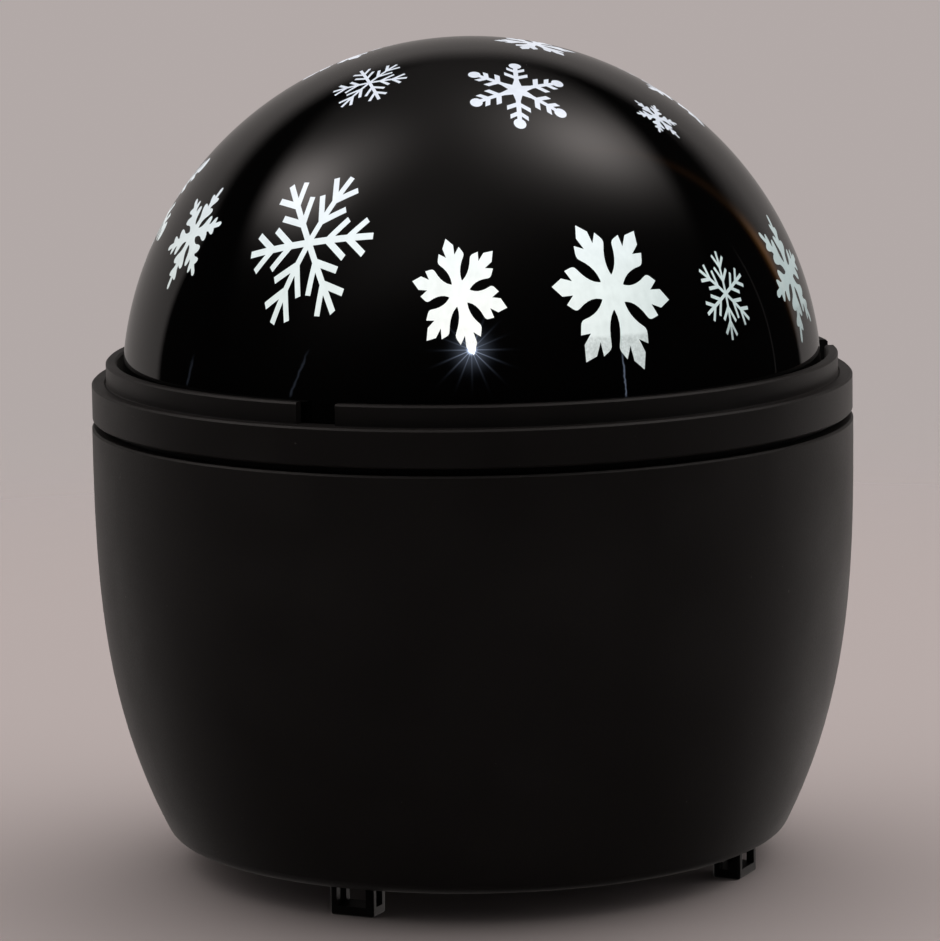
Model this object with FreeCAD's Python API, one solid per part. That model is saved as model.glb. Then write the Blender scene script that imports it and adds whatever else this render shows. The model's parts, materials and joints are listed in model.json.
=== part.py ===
import FreeCAD, Part
import math
import os

# Snowflake projector lamp: a glossy dome turns on a turntable inside a fixed collar, on a pot that holds
# the drive, the control board and three AA cells.
# Millimetres. +Z is up, the front is -Y, and the origin is the middle of the plane the feet stand on.

V = FreeCAD.Vector

# ---- driving dimensions: outside shape ----
FOOT_H = 4.6
BODY_H = 65.85
SEAM = 1.05
BAND_H = 5.8
RING_H = 3.25
BODY_TOP_R = 60.1
BODY_DRAW_IN = 9.9
BODY_DRAW_DEPTH = 63.1
BODY_DRAW_POWER = 3.05
BODY_CORNER_R = 3.0
BODY_WALL = 2.2
BAND_R = 60.0
RING_OUT_R = 57.72
RING_IN_R = 56.0
EDGE = 0.3
DOME_R = 55.23
DOME_WALL = 1.6
DOME_DROP = 2.1

BODY_LOW = FOOT_H
RIM_Z = BODY_LOW + BODY_H
BAND_LOW = RIM_Z + SEAM
BAND_TOP = BAND_LOW + BAND_H
RING_TOP = BAND_TOP + RING_H
DOME_Z = BAND_TOP - DOME_DROP

# ---- driving dimensions: feet and notches, as azimuths from the front towards +X ----
FOOT_AZ = -25.0
FOOT_COUNT = 4
FOOT_W = 7.3
FOOT_D = 4.5
FOOT_OUT_R = 46.4
FOOT_PLATE = 1.5
FOOT_POST = 1.2
NOTCH_AZ = -23.8
NOTCH_COUNT = 3
NOTCH_W = 6.36
FOOT_ROOT = 0.4
FOOT_CORNER_R = 0.5
FOOT_SOLE_R = 0.45
SCREW_AZ = 20.0
SCREW_COUNT = 4

# ---- driving dimensions: floors inside ----
DECK_LOW = 64.0
DECK_TOP = 66.5
DECK_R = 57.5
LEDGE_T = 3.0
LEDGE_IN_R = 50.5
CLAMP_R = 54.0
COVER_T = 2.8
COVER_R = 46.9
COVER_TOP = BODY_LOW + COVER_T
COVER_SCREW_R = 41.5
COVER_PILOT_R = 1.25
COVER_HOLE_R = 1.6
COVER_SINK_R = 3.0
COVER_SINK_H = 1.2
CLAMP_HOLE_R = 1.6
CLAMP_PILOT_R = 1.5
COVER_LIP_T = 2.0
COVER_LIP_W = 2.1
BOSS_TOP = 20.0
BOSS_R = 3.4
RIB_W = 1.6
RING_GROOVE = 0.35
LUG_H = 3.3
LUG_W = 9.0
DECK_RIB_R = 45.25
DECK_RIB_W = 1.5
DECK_RIB_H = 2.0
GAP = 0.2
RUN = 0.05
PAST = 1.0

# ---- driving dimensions: turntable and drive ----
POST_R = 8.0
POST_IN_R = 5.0
POST_FLANGE_R = 19.5
POST_FLANGE_T = 1.5
POST_TOP = 76.5
POST_SCREW_R = 16.5
POST_PILOT_R = 1.25
POST_HOLE_R = 1.3
WIRE_HOLE_R = 4.6
SHAFT_HOLE_R = 2.4
BUSH_R = 9.5
BUSH_FLANGE_R = 12.0
BUSH_FLANGE_T = 0.6
HUB_TOP = 75.0
TABLE_LOW = 70.6
TABLE_T = 2.0
TABLE_R = 55.2
TABLE_TOP = TABLE_LOW + TABLE_T
SPIGOT_R = 53.55
SPIGOT_WALL = 2.2
SPIGOT_H = 4.0
KEY_W = 2.8
KEY_H = 2.0
KEY_GAP = 0.1
KEY_COUNT = 3
TABLE_RIB_H = 1.2
MODULE = 0.8
TABLE_TEETH = 72
PINION_TEETH = 18
GEAR_T = 3.0
GEAR_LOW = TABLE_LOW - GEAR_T
GEAR_IN_R = 21.5
GEAR_SCREW_R = 24.5
GEAR_SCREW_AZ = 60.0
GEAR_HOLE_R = 1.3
GEAR_SINK_R = 2.2
GEAR_SINK_H = 1.4
GEAR_PILOT_R = 1.15
PINION_DROP = 0.3
BACKLASH = 0.14
PRESSURE_ANGLE = math.radians(20.0)
MOTOR_X = MODULE * (TABLE_TEETH + PINION_TEETH) / 2.0
SHAFT_R = 1.5
SHAFT_DEEP = 4.9
MOTOR_W = 12.0
MOTOR_D = 10.0
GEARBOX_H = 9.0
CAN_H = 15.0
END_CAP_H = 2.0
END_CAP_STEP = 0.4
TERMINAL_T = 0.4
TERMINAL_W = 1.6
MOTOR_SCREW_Y = 4.5
SINK_H = 0.85
LED_BOARD_T = 1.2
LED_BOARD_TOP = POST_TOP + LED_BOARD_T
LED_BOARD_R = 7.8
LED_SCREW_X = 6.5
LED_PILOT_R = 0.8
LED_PILOT_L = 4.0
LED_HOLE_R = 0.95
LED_R = 2.5
LED_H = 8.7
LED_FLANGE_W = 0.4
LED_FLANGE_H = 1.0
CLIP_W = 0.6
CLIP_T = 0.8
CLIP_OUT_R = 10.5
CLIP_MOUTH = 5.0

# ---- driving dimensions: batteries, switch and board ----
CELL_R = 7.15
CELL_L = 50.5
CELL_EDGE_R = 0.6
NUB_R = 2.75
NUB_L = 1.3
CELL_PITCH = 15.2
CELL_Z = 14.1
SPRING_L = 4.5
SPRING_WIRE_R = 0.4
SPRING_BIG_R = 4.2
SPRING_SMALL_R = 2.8
SPRING_TURNS = 3.5
PLATE_T = 0.3
TUB_X = (CELL_L + SPRING_L) / 2.0 + PLATE_T
TUB_Y = 23.4
TUB_WALL = 1.6
TUB_CORNER_R = 2.0
TUB_ROOF = 22.0
TUB_TOP = TUB_ROOF + TUB_WALL
DOOR_X = 30.2
DOOR_Y = 25.6
DOOR_T = 1.8
GRIP_COUNT = 5
GRIP_PITCH = 2.0
GRIP_L = 0.8
GRIP_W = 14.0
GRIP_DEEP = 0.4
GRIP_X = DOOR_X - 4.0
HINGE_PIN_R = 0.6
HINGE_EDGE_R = 0.85
HINGE_Z = BODY_LOW + 1.0
HINGE_X = HINGE_EDGE_R - DOOR_X
HINGE_CLEAR = 1.25
HINGE_PIN_L = 2.0
SWITCH_X = -3.0
SWITCH_Y = -33.0
SWITCH_TRAVEL = 4.0
KNOB_PROUD = 0.8
KNOB_DEEP = 2.0
KNOB_GROOVE_PITCH = 1.1
KNOB_GROOVE_W = 0.5
SLIDER_L = 4.2
SLIDER_W = 3.2
BOARD_X = 44.0
BOARD_Y = 30.0
BOARD_T = 1.6
BOARD_LOW = TUB_TOP + 3.0
BOARD_TOP = BOARD_LOW + BOARD_T
STAND_R = 2.2
BOARD_HOLE_INSET = 3.0
BOARD_HOLE_R = 1.2
BOARD_CORNER_R = 1.5
WIRE_R = 0.55
WIRE_BEND = 3.0
TAB_RISE = 1.8
TAB_W = 3.0
PLATE_W = 9.0
PLATE_LOW = 9.5
PLATE_HIGH = 19.5
TAB_SLOT_L = 0.9
TAB_SLOT_W = 3.6
BOARD_PILOT_R = 0.9
LATCH_GAP = 0.25
LATCH_L = 1.2
LATCH_W = 8.0
LATCH_X = DOOR_X - 1.1
SWITCH_H = 5.5
SWITCH_PILOT_R = 0.8
SWITCH_PIN_L = 1.8
SWITCH_PIN_X = 2.5
SWITCH_EAR_X = 7.8
TERMINAL_L = 2.0
TERMINAL_Y = 3.0
SWITCH_L = 12.0
SWITCH_W = 6.2
EAR_L = 19.0
EAR_W = 5.0
EAR_T = 0.5
EAR_CORNER_R = 1.2
EAR_HOLE_R = 1.0
SWITCH_EDGE_R = 0.4
SWITCH_PIN_T = 0.5
SWITCH_PIN_W = 1.2
CONNECTOR_L = 6.0
CONNECTOR_W = 4.5
CONNECTOR_H = 5.0
PIN_GAP = 1.25
CONNECTORS = {"battery": (-18.0, 0.0), "switch": (0.0, -11.5), "motor": (18.0, 0.0), "led": (0.0, 3.0)}
CHIP_X = -8.0
CHIP_Y = 9.0
CHIP_L = 5.0
CHIP_W = 4.0
CHIP_H = 1.6
CHIP_LIFT = 0.1
CHIP_LEG_L = 1.2
CHIP_LEG_W = 0.45
CHIP_LEG_H = 0.7
CHIP_LEG_ROOT = 0.2
CHIP_LEGS = 4
CHIP_PITCH = 1.27
CAPACITOR_X = 10.0
CAPACITOR_Y = 9.5
CAPACITOR_R = 2.6
CAPACITOR_H = 7.0
CAPACITOR_EDGE = 0.5
RESISTOR_L = 2.0
RESISTOR_W = 1.25
RESISTOR_H = 0.5
RESISTOR_PLACES = [(-15.0, 7.0), (-15.0, 10.0), (-2.0, 12.0), (15.5, 7.0), (-8.0, 4.0), (10.0, -10.0)]

# ---- screws: head radius, head height, shank radius, shank length ----
COVER_SCREW = (2.7, 1.1, 1.2, 10.0)
CLAMP_SCREW = (2.8, 2.0, 1.45, 7.8)
SWITCH_SCREW = (1.6, 1.0, 0.75, 2.2)
BOARD_SCREW = (1.9, 1.2, 0.85, BOARD_T + 3.0)
POST_SCREW = (2.2, 1.2, 1.2, POST_FLANGE_T + 2.2)
LED_SCREW = (1.25, 0.9, 0.75, LED_BOARD_T + 3.0)
GEAR_SCREW = (2.0, 1.2, 1.1, GEAR_T - GEAR_SINK_H + 1.6)
MOTOR_SHANK_R = 0.75
MOTOR_SHANK_L = 5.5
MOTOR_HEAD_R = 1.6
SCREW_PLAY = 0.1

CONNECTOR_TOP = BOARD_TOP + CONNECTOR_H
WIRE_HIGH = CONNECTOR_TOP + 2.0 * WIRE_BEND


# ---- helpers ----
def disc(radius, low, high, x=0.0, y=0.0):
    return Part.makeCylinder(radius, high - low, V(x, y, low))


def tube(inner, outer, low, high):
    return disc(outer, low, high).cut(disc(inner, low - PAST, high + PAST))


def block(x_mid, y_mid, x_size, y_size, low, high):
    corner = V(x_mid - x_size / 2.0, y_mid - y_size / 2.0, low)
    return Part.makeBox(x_size, y_size, high - low, corner)


def rounded_block(x_mid, y_mid, x_size, y_size, low, high, radius):
    solid = block(x_mid, y_mid, x_size, y_size, low, high)
    uprights = [e for e in solid.Edges if abs(e.Vertexes[0].Z - e.Vertexes[1].Z) > (high - low) / 2.0]
    return solid.makeFillet(radius, uprights)


def turned(shape, degrees):
    copy = shape.copy()
    copy.rotate(V(0, 0, 0), V(0, 0, 1), degrees)
    return copy


def ring_of(shape, count, first):
    """Copies of a shape at even steps round the axis, the first turned by so many degrees."""
    return [turned(shape, first + 360.0 * i / count) for i in range(count)]


def revolve(points):
    """Turns an (r, z) outline about the Z axis."""
    corners = [V(r, 0, z) for r, z in points]
    wire = Part.makePolygon(corners + [corners[0]])
    return Part.Face(wire).revolve(V(0, 0, 0), V(0, 0, 1), 360)


def fuse_all(first, others):
    return first.multiFuse(others).removeSplitter()


def cut_all(first, others):
    return first.cut(Part.makeCompound(others))


def screw(size, z_head):
    """A pan-head screw that points down from z_head, with a cross recess."""
    head_r, head_h, shank_r, shank_l = size
    head_top = z_head + head_h
    crown = head_h * 0.45
    head = disc(head_r, z_head, head_top)
    head = head.makeFillet(crown, [e for e in head.Edges if e.BoundBox.ZMin > z_head + crown])
    body = head.fuse(disc(shank_r, z_head - shank_l, z_head)).removeSplitter()
    slot_l = head_r * 1.1
    slot_w = head_r * 0.28
    slot_low = z_head + crown
    cross = [block(0, 0, slot_l, slot_w, slot_low, head_top + PAST)]
    cross.append(block(0, 0, slot_w, slot_l, slot_low, head_top + PAST))
    return cut_all(body, cross)


def moved(shape, x, y, z=0.0):
    copy = shape.copy()
    copy.translate(V(x, y, z))
    return copy


def flipped(shape, z):
    """Turns a shape upside down about the plane at height z."""
    copy = shape.copy()
    copy.rotate(V(0, 0, z), V(1, 0, 0), 180)
    return copy


def at_front(radius):
    """The x and y of a point in front of the axis, from where ring_of turns it into place."""
    return 0.0, -radius


# ---- the pot ----
def body_radius(depth):
    """Outer radius of the pot at a depth below its rim."""
    return BODY_TOP_R - BODY_DRAW_IN * (depth / BODY_DRAW_DEPTH) ** BODY_DRAW_POWER


def wall_curve(offset, top_depth, low_depth, steps=8):
    """The pot's side from one depth to another, moved inwards, with its two end points."""
    points = []
    for i in range(steps + 1):
        depth = top_depth + (low_depth - top_depth) * i / steps
        points.append(V(body_radius(depth) - offset, 0, RIM_Z - depth))
    curve = Part.BSplineCurve()
    curve.interpolate(points)
    return curve.toShape(), points[0], points[-1]


def spin_profile(edges):
    """Turns a closed loop of edges about the Z axis."""
    wire = Part.Wire(Part.__sortEdges__(edges))
    return Part.Face(wire).revolve(V(0, 0, 0), V(0, 0, 1), 360)


def body_outer():
    """The pot as a full solid, with a small chamfer at its rim and a rounded foot edge."""
    curve, top, low = wall_curve(0.0, EDGE, BODY_H)
    chamfer_top = V(BODY_TOP_R - EDGE, 0, RIM_Z)
    edges = [curve]
    edges.append(Part.makeLine(V(0, 0, RIM_Z), chamfer_top))
    edges.append(Part.makeLine(chamfer_top, top))
    edges.append(Part.makeLine(low, V(0, 0, BODY_LOW)))
    edges.append(Part.makeLine(V(0, 0, BODY_LOW), V(0, 0, RIM_Z)))
    solid = spin_profile(edges)
    low_edges = [e for e in solid.Edges if e.BoundBox.ZMax < BODY_LOW + EDGE]
    foot_edge = [e for e in low_edges if e.BoundBox.XMax > COVER_R]
    return solid.makeFillet(BODY_CORNER_R, foot_edge)


def body_cavity():
    """The hollow of the pot: open at the top, and stepped below into the seat of the base cover."""
    lip_top = COVER_TOP + COVER_LIP_T
    lip_r = COVER_R - COVER_LIP_W
    seat_r = COVER_R + GAP
    curve, top, low = wall_curve(BODY_WALL, 0.0, RIM_Z - lip_top)
    below = BODY_LOW - PAST
    above = RIM_Z + PAST
    corners = [low, V(lip_r, 0, lip_top), V(lip_r, 0, COVER_TOP), V(seat_r, 0, COVER_TOP)]
    corners += [V(seat_r, 0, below), V(0, 0, below), V(0, 0, above), V(top.x, 0, above), top]
    edges = [curve]
    edges += [Part.makeLine(a, b) for a, b in zip(corners, corners[1:])]
    return spin_profile(edges)


def body_shell():
    """The pot: a ledge for the deck inside, and four ribbed bosses for the base cover's screws."""
    outer = body_outer()
    shell = outer.cut(body_cavity())
    ledge = tube(LEDGE_IN_R, BODY_TOP_R - BODY_WALL / 2.0, DECK_LOW - LEDGE_T, DECK_LOW)
    boss = disc(BOSS_R, COVER_TOP, BOSS_TOP, *at_front(COVER_SCREW_R))
    rib_mid = -(COVER_SCREW_R + BODY_TOP_R) / 2.0
    rib = block(0, rib_mid, RIB_W, BODY_TOP_R - COVER_SCREW_R, COVER_TOP + COVER_LIP_T, BOSS_TOP)
    post = boss.fuse(rib.common(outer))
    shell = fuse_all(shell, [ledge] + ring_of(post, SCREW_COUNT, SCREW_AZ))
    pilot = disc(COVER_PILOT_R, COVER_TOP - PAST, BOSS_TOP - BODY_WALL, *at_front(COVER_SCREW_R))
    clamp = disc(CLAMP_HOLE_R, DECK_LOW - LEDGE_T - PAST, DECK_LOW + PAST, *at_front(CLAMP_R))
    holes = ring_of(pilot, SCREW_COUNT, SCREW_AZ) + ring_of(clamp, SCREW_COUNT, SCREW_AZ)
    return cut_all(shell, holes)


# ---- the collar ----
def collar_ring():
    """The stepped collar: spigot inside the pot, wide band, narrow ring with notches, and screw lugs."""
    spigot_r = BODY_TOP_R - BODY_WALL - EDGE
    outline = [(RING_IN_R, DECK_TOP), (spigot_r, DECK_TOP), (spigot_r, BAND_LOW)]
    outline += [(BAND_R - EDGE, BAND_LOW), (BAND_R, BAND_LOW + EDGE)]
    outline += [(BAND_R, BAND_TOP - EDGE), (BAND_R - EDGE, BAND_TOP)]
    outline += [(RING_OUT_R + RING_GROOVE, BAND_TOP)]
    outline += [(RING_OUT_R + RING_GROOVE / 2.0, BAND_TOP - RING_GROOVE)]
    outline += [(RING_OUT_R, BAND_TOP), (RING_OUT_R, RING_TOP - EDGE), (RING_OUT_R - EDGE, RING_TOP)]
    outline += [(RING_IN_R + EDGE, RING_TOP), (RING_IN_R, RING_TOP - EDGE)]
    collar = revolve(outline)
    lug_out = RING_IN_R + PAST
    lug = block(0, -(LEDGE_IN_R + lug_out) / 2.0, LUG_W, lug_out - LEDGE_IN_R, DECK_TOP, DECK_TOP + LUG_H)
    collar = fuse_all(collar, ring_of(lug, SCREW_COUNT, SCREW_AZ))
    pilot = disc(CLAMP_PILOT_R, DECK_TOP - PAST, DECK_TOP + LUG_H - 2 * EDGE, *at_front(CLAMP_R))
    notch = block(0, -RING_OUT_R, NOTCH_W, 2 * CLAMP_R - 2 * LEDGE_IN_R, BAND_TOP, RING_TOP + PAST)
    holes = ring_of(pilot, SCREW_COUNT, SCREW_AZ) + ring_of(notch, NOTCH_COUNT, NOTCH_AZ)
    return cut_all(collar, holes)


# ---- underside: base cover, feet, battery tub, door ----
def foot():
    """A hollow cage foot at the front: four corner posts on a sole plate."""
    mid = -(FOOT_OUT_R - FOOT_D / 2.0)
    whole = rounded_block(0, mid, FOOT_W, FOOT_D, 0.0, BODY_LOW + FOOT_ROOT, FOOT_CORNER_R)
    sole = [e for e in whole.Edges if e.BoundBox.ZMax < FOOT_SOLE_R]
    whole = whole.makeFillet(FOOT_SOLE_R, sole)
    through_x = block(0, mid, FOOT_W + PAST, FOOT_D - 2.0 * FOOT_POST, FOOT_PLATE, BODY_LOW)
    through_y = block(0, mid, FOOT_W - 2.0 * FOOT_POST, FOOT_D + PAST, FOOT_PLATE, BODY_LOW)
    return cut_all(whole, [through_x, through_y])


def battery_tub():
    """The tub's outside and the hollow that holds the cells."""
    length = 2 * (TUB_X + TUB_WALL)
    width = 2 * (TUB_Y + TUB_WALL)
    outer = rounded_block(0, 0, length, width, COVER_TOP - FOOT_ROOT, TUB_TOP, TUB_CORNER_R)
    inner = block(0, 0, 2 * TUB_X, 2 * TUB_Y, BODY_LOW, TUB_ROOF)
    return outer, inner


def board_corners():
    x = BOARD_X / 2.0 - BOARD_HOLE_INSET
    y = BOARD_Y / 2.0 - BOARD_HOLE_INSET
    return [(-x, -y), (-x, y), (x, -y), (x, y)]


def door_opening():
    """The recess that the door closes flush in, with the two holes of its hinge pins."""
    left = HINGE_X - HINGE_CLEAR
    right = DOOR_X + GAP
    width = 2 * (DOOR_Y + GAP)
    high = BODY_LOW + DOOR_T + GAP / 2.0
    recess = block((left + right) / 2.0, 0, right - left, width, BODY_LOW - PAST, high)
    pin_r = HINGE_PIN_R + RUN
    length = 2 * (DOOR_Y + HINGE_PIN_L + GAP)
    pin = Part.makeCylinder(pin_r, length, V(HINGE_X, -length / 2.0, HINGE_Z), V(0, 1, 0))
    return recess.fuse(pin)


def latch_pocket(margin):
    """The space of the door's spring latch, in the middle of its right edge."""
    low = BODY_LOW + DOOR_T - FOOT_ROOT
    return block(LATCH_X, 0, LATCH_L + 2 * margin, LATCH_W + 2 * margin, low, COVER_TOP + PAST)


def slider_path(low, high):
    """The slot that the switch's knob moves in."""
    length = SLIDER_L + SWITCH_TRAVEL + 2 * GAP
    return block(SWITCH_X, SWITCH_Y, length, SLIDER_W + 2 * GAP, low, high)


def switch_screw_places():
    return [SWITCH_X - SWITCH_EAR_X, SWITCH_X + SWITCH_EAR_X]


def base_cover():
    """The underside: plate, battery tub, board stands and feet, with its openings."""
    plate = disc(COVER_R, BODY_LOW, COVER_TOP)
    tub_outer, tub_inner = battery_tub()
    stands = [disc(STAND_R, TUB_TOP - GAP, BOARD_LOW, x, y) for x, y in board_corners()]
    feet = ring_of(foot(), FOOT_COUNT, FOOT_AZ)
    cover = fuse_all(plate, [tub_outer] + stands + feet)
    cuts = [tub_inner, door_opening(), latch_pocket(LATCH_GAP)]
    pilot_low = TUB_ROOF + TUB_WALL / 2.0
    cuts += [disc(BOARD_PILOT_R, pilot_low, BOARD_LOW + PAST, x, y) for x, y in board_corners()]
    tab_slot = block(0, 0, TAB_SLOT_L, TAB_SLOT_W, TUB_ROOF - PAST, TUB_TOP + PAST)
    slot_x = TUB_X - TAB_SLOT_L / 2.0
    cuts += [moved(tab_slot, slot_x, -CELL_PITCH), moved(tab_slot, -slot_x, CELL_PITCH)]
    hole = disc(COVER_HOLE_R, BODY_LOW - PAST, COVER_TOP + PAST, *at_front(COVER_SCREW_R))
    sink = disc(COVER_SINK_R, BODY_LOW - PAST, BODY_LOW + COVER_SINK_H, *at_front(COVER_SCREW_R))
    cuts += ring_of(hole.fuse(sink), SCREW_COUNT, SCREW_AZ)
    cuts.append(slider_path(BODY_LOW - PAST, COVER_TOP + PAST))
    for x in switch_screw_places():
        cuts.append(disc(SWITCH_PILOT_R, BODY_LOW + SWITCH_PILOT_R, COVER_TOP + PAST, x, SWITCH_Y))
    return cut_all(cover, cuts)


def base_screws():
    head_z = BODY_LOW + COVER_SINK_H
    one = flipped(screw(COVER_SCREW, head_z), head_z)
    return Part.makeCompound(ring_of(moved(one, *at_front(COVER_SCREW_R)), SCREW_COUNT, SCREW_AZ))


def battery_door():
    """Door plate with a rounded hinge edge, two side pins, grip ribs and a spring latch."""
    top = BODY_LOW + DOOR_T
    plate = block((HINGE_X + DOOR_X) / 2.0, 0, DOOR_X - HINGE_X, 2 * DOOR_Y, BODY_LOW, top)
    edge = Part.makeCylinder(HINGE_EDGE_R, 2 * DOOR_Y, V(HINGE_X, -DOOR_Y, HINGE_Z), V(0, 1, 0))
    length = 2 * (DOOR_Y + HINGE_PIN_L)
    pins = Part.makeCylinder(HINGE_PIN_R, length, V(HINGE_X, -length / 2.0, HINGE_Z), V(0, 1, 0))
    latch = block(LATCH_X, 0, LATCH_L, LATCH_W, top - FOOT_ROOT, COVER_TOP + 3 * GAP)
    door = fuse_all(plate, [edge, pins, latch])
    grip_low = BODY_LOW - PAST
    grips = []
    for i in range(GRIP_COUNT):
        grips.append(block(GRIP_X - GRIP_PITCH * i, 0, GRIP_L, GRIP_W, grip_low, BODY_LOW + GRIP_DEEP))
    return cut_all(door, grips)


# ---- cells and contacts ----
def cell_rows():
    """Each cell's Y, and +1 where its nub points to +X."""
    return [(-CELL_PITCH, 1), (0.0, -1), (CELL_PITCH, 1)]


def battery_cells():
    can_l = CELL_L - NUB_L
    nub_end = TUB_X - PLATE_T
    can = Part.makeCylinder(CELL_R, can_l, V(nub_end - CELL_L, 0, CELL_Z), V(1, 0, 0))
    can = can.makeFillet(CELL_EDGE_R, [e for e in can.Edges if e.Curve.TypeId == "Part::GeomCircle"])
    nub_l = NUB_L + CELL_EDGE_R
    nub = Part.makeCylinder(NUB_R, nub_l, V(nub_end - nub_l, 0, CELL_Z), V(1, 0, 0))
    cell = can.fuse(nub).removeSplitter()
    cells = []
    for y, way in cell_rows():
        one = cell if way > 0 else turned(cell, 180)
        cells.append(moved(one, 0, y))
    return Part.makeCompound(cells)


def contact_plates():
    """Two single plates with solder tabs, and two that bridge neighbouring cells."""
    x_mid = TUB_X - PLATE_T / 2.0
    tab = block(x_mid, -CELL_PITCH, PLATE_T, TAB_W, PLATE_HIGH - PAST, TUB_TOP + TAB_RISE)
    single = block(x_mid, -CELL_PITCH, PLATE_T, PLATE_W, PLATE_LOW, PLATE_HIGH).fuse(tab).removeSplitter()
    bridge = block(x_mid, CELL_PITCH / 2.0, PLATE_T, CELL_PITCH + PLATE_W, PLATE_LOW, PLATE_HIGH)
    return Part.makeCompound([single, bridge, turned(single, 180), turned(bridge, 180)])


def conical_coil(wire_r, big_r, small_r, turns, rise, steps_per_turn=12):
    """A spring along +Z whose coils narrow from big_r to small_r."""
    steps = int(turns * steps_per_turn)
    points = []
    for i in range(steps + 1):
        part = i / steps
        angle = 2.0 * math.pi * turns * part
        r = big_r + (small_r - big_r) * part
        points.append(V(r * math.cos(angle), r * math.sin(angle), rise * part))
    curve = Part.BSplineCurve()
    curve.interpolate(points)
    start = curve.tangent(curve.FirstParameter)[0]
    section = Part.Wire(Part.makeCircle(wire_r, points[0], start))
    return Part.Wire(curve.toShape()).makePipeShell([section], True, True)


def cell_springs():
    """Conical springs between each cell's flat end and its contact plate."""
    end_gap = 1.2 * SPRING_WIRE_R
    coil = conical_coil(SPRING_WIRE_R, SPRING_BIG_R, SPRING_SMALL_R, SPRING_TURNS, SPRING_L - 2.0 * end_gap)
    coil.rotate(V(0, 0, 0), V(0, 1, 0), 90)
    coil = moved(coil, -TUB_X + PLATE_T + end_gap, 0, CELL_Z)
    springs = [moved(coil if way > 0 else turned(coil, 180), 0, y) for y, way in cell_rows()]
    return Part.makeCompound(springs)


# ---- switch ----
def switch_housing():
    """The slide switch: a small case with screw ears, a slot for its knob and two solder pins."""
    can_top = COVER_TOP + SWITCH_H
    can = rounded_block(SWITCH_X, SWITCH_Y, SWITCH_L, SWITCH_W, COVER_TOP, can_top, SWITCH_EDGE_R)
    ears = rounded_block(SWITCH_X, SWITCH_Y, EAR_L, EAR_W, COVER_TOP, COVER_TOP + EAR_T, EAR_CORNER_R)
    pocket = slider_path(0.0, COVER_TOP + KNOB_DEEP + GAP)
    holes = [disc(EAR_HOLE_R, COVER_TOP - PAST, COVER_TOP + PAST, x, SWITCH_Y) for x in switch_screw_places()]
    pin = block(SWITCH_X, SWITCH_Y, SWITCH_PIN_T, SWITCH_PIN_W, can_top - GAP, can_top + SWITCH_PIN_L)
    pins = [moved(pin, side * SWITCH_PIN_X, 0) for side in (-1, 1)]
    return cut_all(fuse_all(can, [ears] + pins), [pocket] + holes)


def switch_slider():
    """The knob, drawn in its ON place, with three grip grooves."""
    x_on = SWITCH_X + SWITCH_TRAVEL / 2.0
    low = BODY_LOW - KNOB_PROUD
    knob = rounded_block(x_on, SWITCH_Y, SLIDER_L, SLIDER_W, low, COVER_TOP + KNOB_DEEP, SWITCH_EDGE_R)
    groove = block(x_on, SWITCH_Y, KNOB_GROOVE_W, SLIDER_W + PAST, 0.0, low + KNOB_PROUD / 2.0)
    return cut_all(knob, [moved(groove, step * KNOB_GROOVE_PITCH, 0) for step in (-1, 0, 1)])


def switch_screws():
    one = screw(SWITCH_SCREW, COVER_TOP + EAR_T)
    return Part.makeCompound([moved(one, x, SWITCH_Y) for x in switch_screw_places()])


# ---- control board ----
def control_board():
    board = rounded_block(0, 0, BOARD_X, BOARD_Y, BOARD_LOW, BOARD_TOP, BOARD_CORNER_R)
    holes = [disc(BOARD_HOLE_R, BOARD_LOW - PAST, BOARD_TOP + PAST, x, y) for x, y in board_corners()]
    return cut_all(board, holes)


def board_screws():
    one = screw(BOARD_SCREW, BOARD_TOP)
    return Part.makeCompound([moved(one, x, y) for x, y in board_corners()])


def control_chip():
    """The motor and lamp controller, with a row of legs on each side."""
    body = rounded_block(CHIP_X, CHIP_Y, CHIP_L, CHIP_W, BOARD_TOP + CHIP_LIFT, BOARD_TOP + CHIP_H, EDGE)
    legs = []
    for side in (-1, 1):
        for i in range(CHIP_LEGS):
            x = CHIP_X + (i - (CHIP_LEGS - 1) / 2.0) * CHIP_PITCH
            y = CHIP_Y + side * (CHIP_W + CHIP_LEG_L) / 2.0 - side * CHIP_LEG_ROOT
            legs.append(block(x, y, CHIP_LEG_W, CHIP_LEG_L, BOARD_TOP, BOARD_TOP + CHIP_LEG_H))
    return fuse_all(body, legs)


def filter_capacitor():
    can = disc(CAPACITOR_R, BOARD_TOP, BOARD_TOP + CAPACITOR_H, CAPACITOR_X, CAPACITOR_Y)
    return can.makeFillet(CAPACITOR_EDGE, [e for e in can.Edges if e.Curve.TypeId == "Part::GeomCircle"])


def resistors():
    one = block(0, 0, RESISTOR_L, RESISTOR_W, BOARD_TOP, BOARD_TOP + RESISTOR_H)
    return Part.makeCompound([moved(one, x, y) for x, y in RESISTOR_PLACES])



def wire_connectors():
    parts = []
    for x, y in CONNECTORS.values():
        parts.append(rounded_block(x, y, CONNECTOR_L, CONNECTOR_W, BOARD_TOP, CONNECTOR_TOP, SWITCH_EDGE_R))
    return Part.makeCompound(parts)


def bent_path(corners):
    """Straight runs between the corners, with every corner rounded."""
    edges = []
    start = corners[0]
    for before, corner, after in zip(corners, corners[1:], corners[2:]):
        arriving = (corner - before).normalize()
        leaving = (after - corner).normalize()
        half_turn = arriving.getAngle(leaving) / 2.0
        reach = WIRE_BEND * math.tan(half_turn)
        depth = WIRE_BEND * (1.0 / math.cos(half_turn) - 1.0)
        inward = (leaving - arriving).normalize()
        first = corner - arriving * reach
        last = corner + leaving * reach
        edges.append(Part.makeLine(start, first))
        edges.append(Part.Arc(first, corner + inward * depth, last).toShape())
        start = last
    edges.append(Part.makeLine(start, corners[-1]))
    return Part.Wire(edges)


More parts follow.
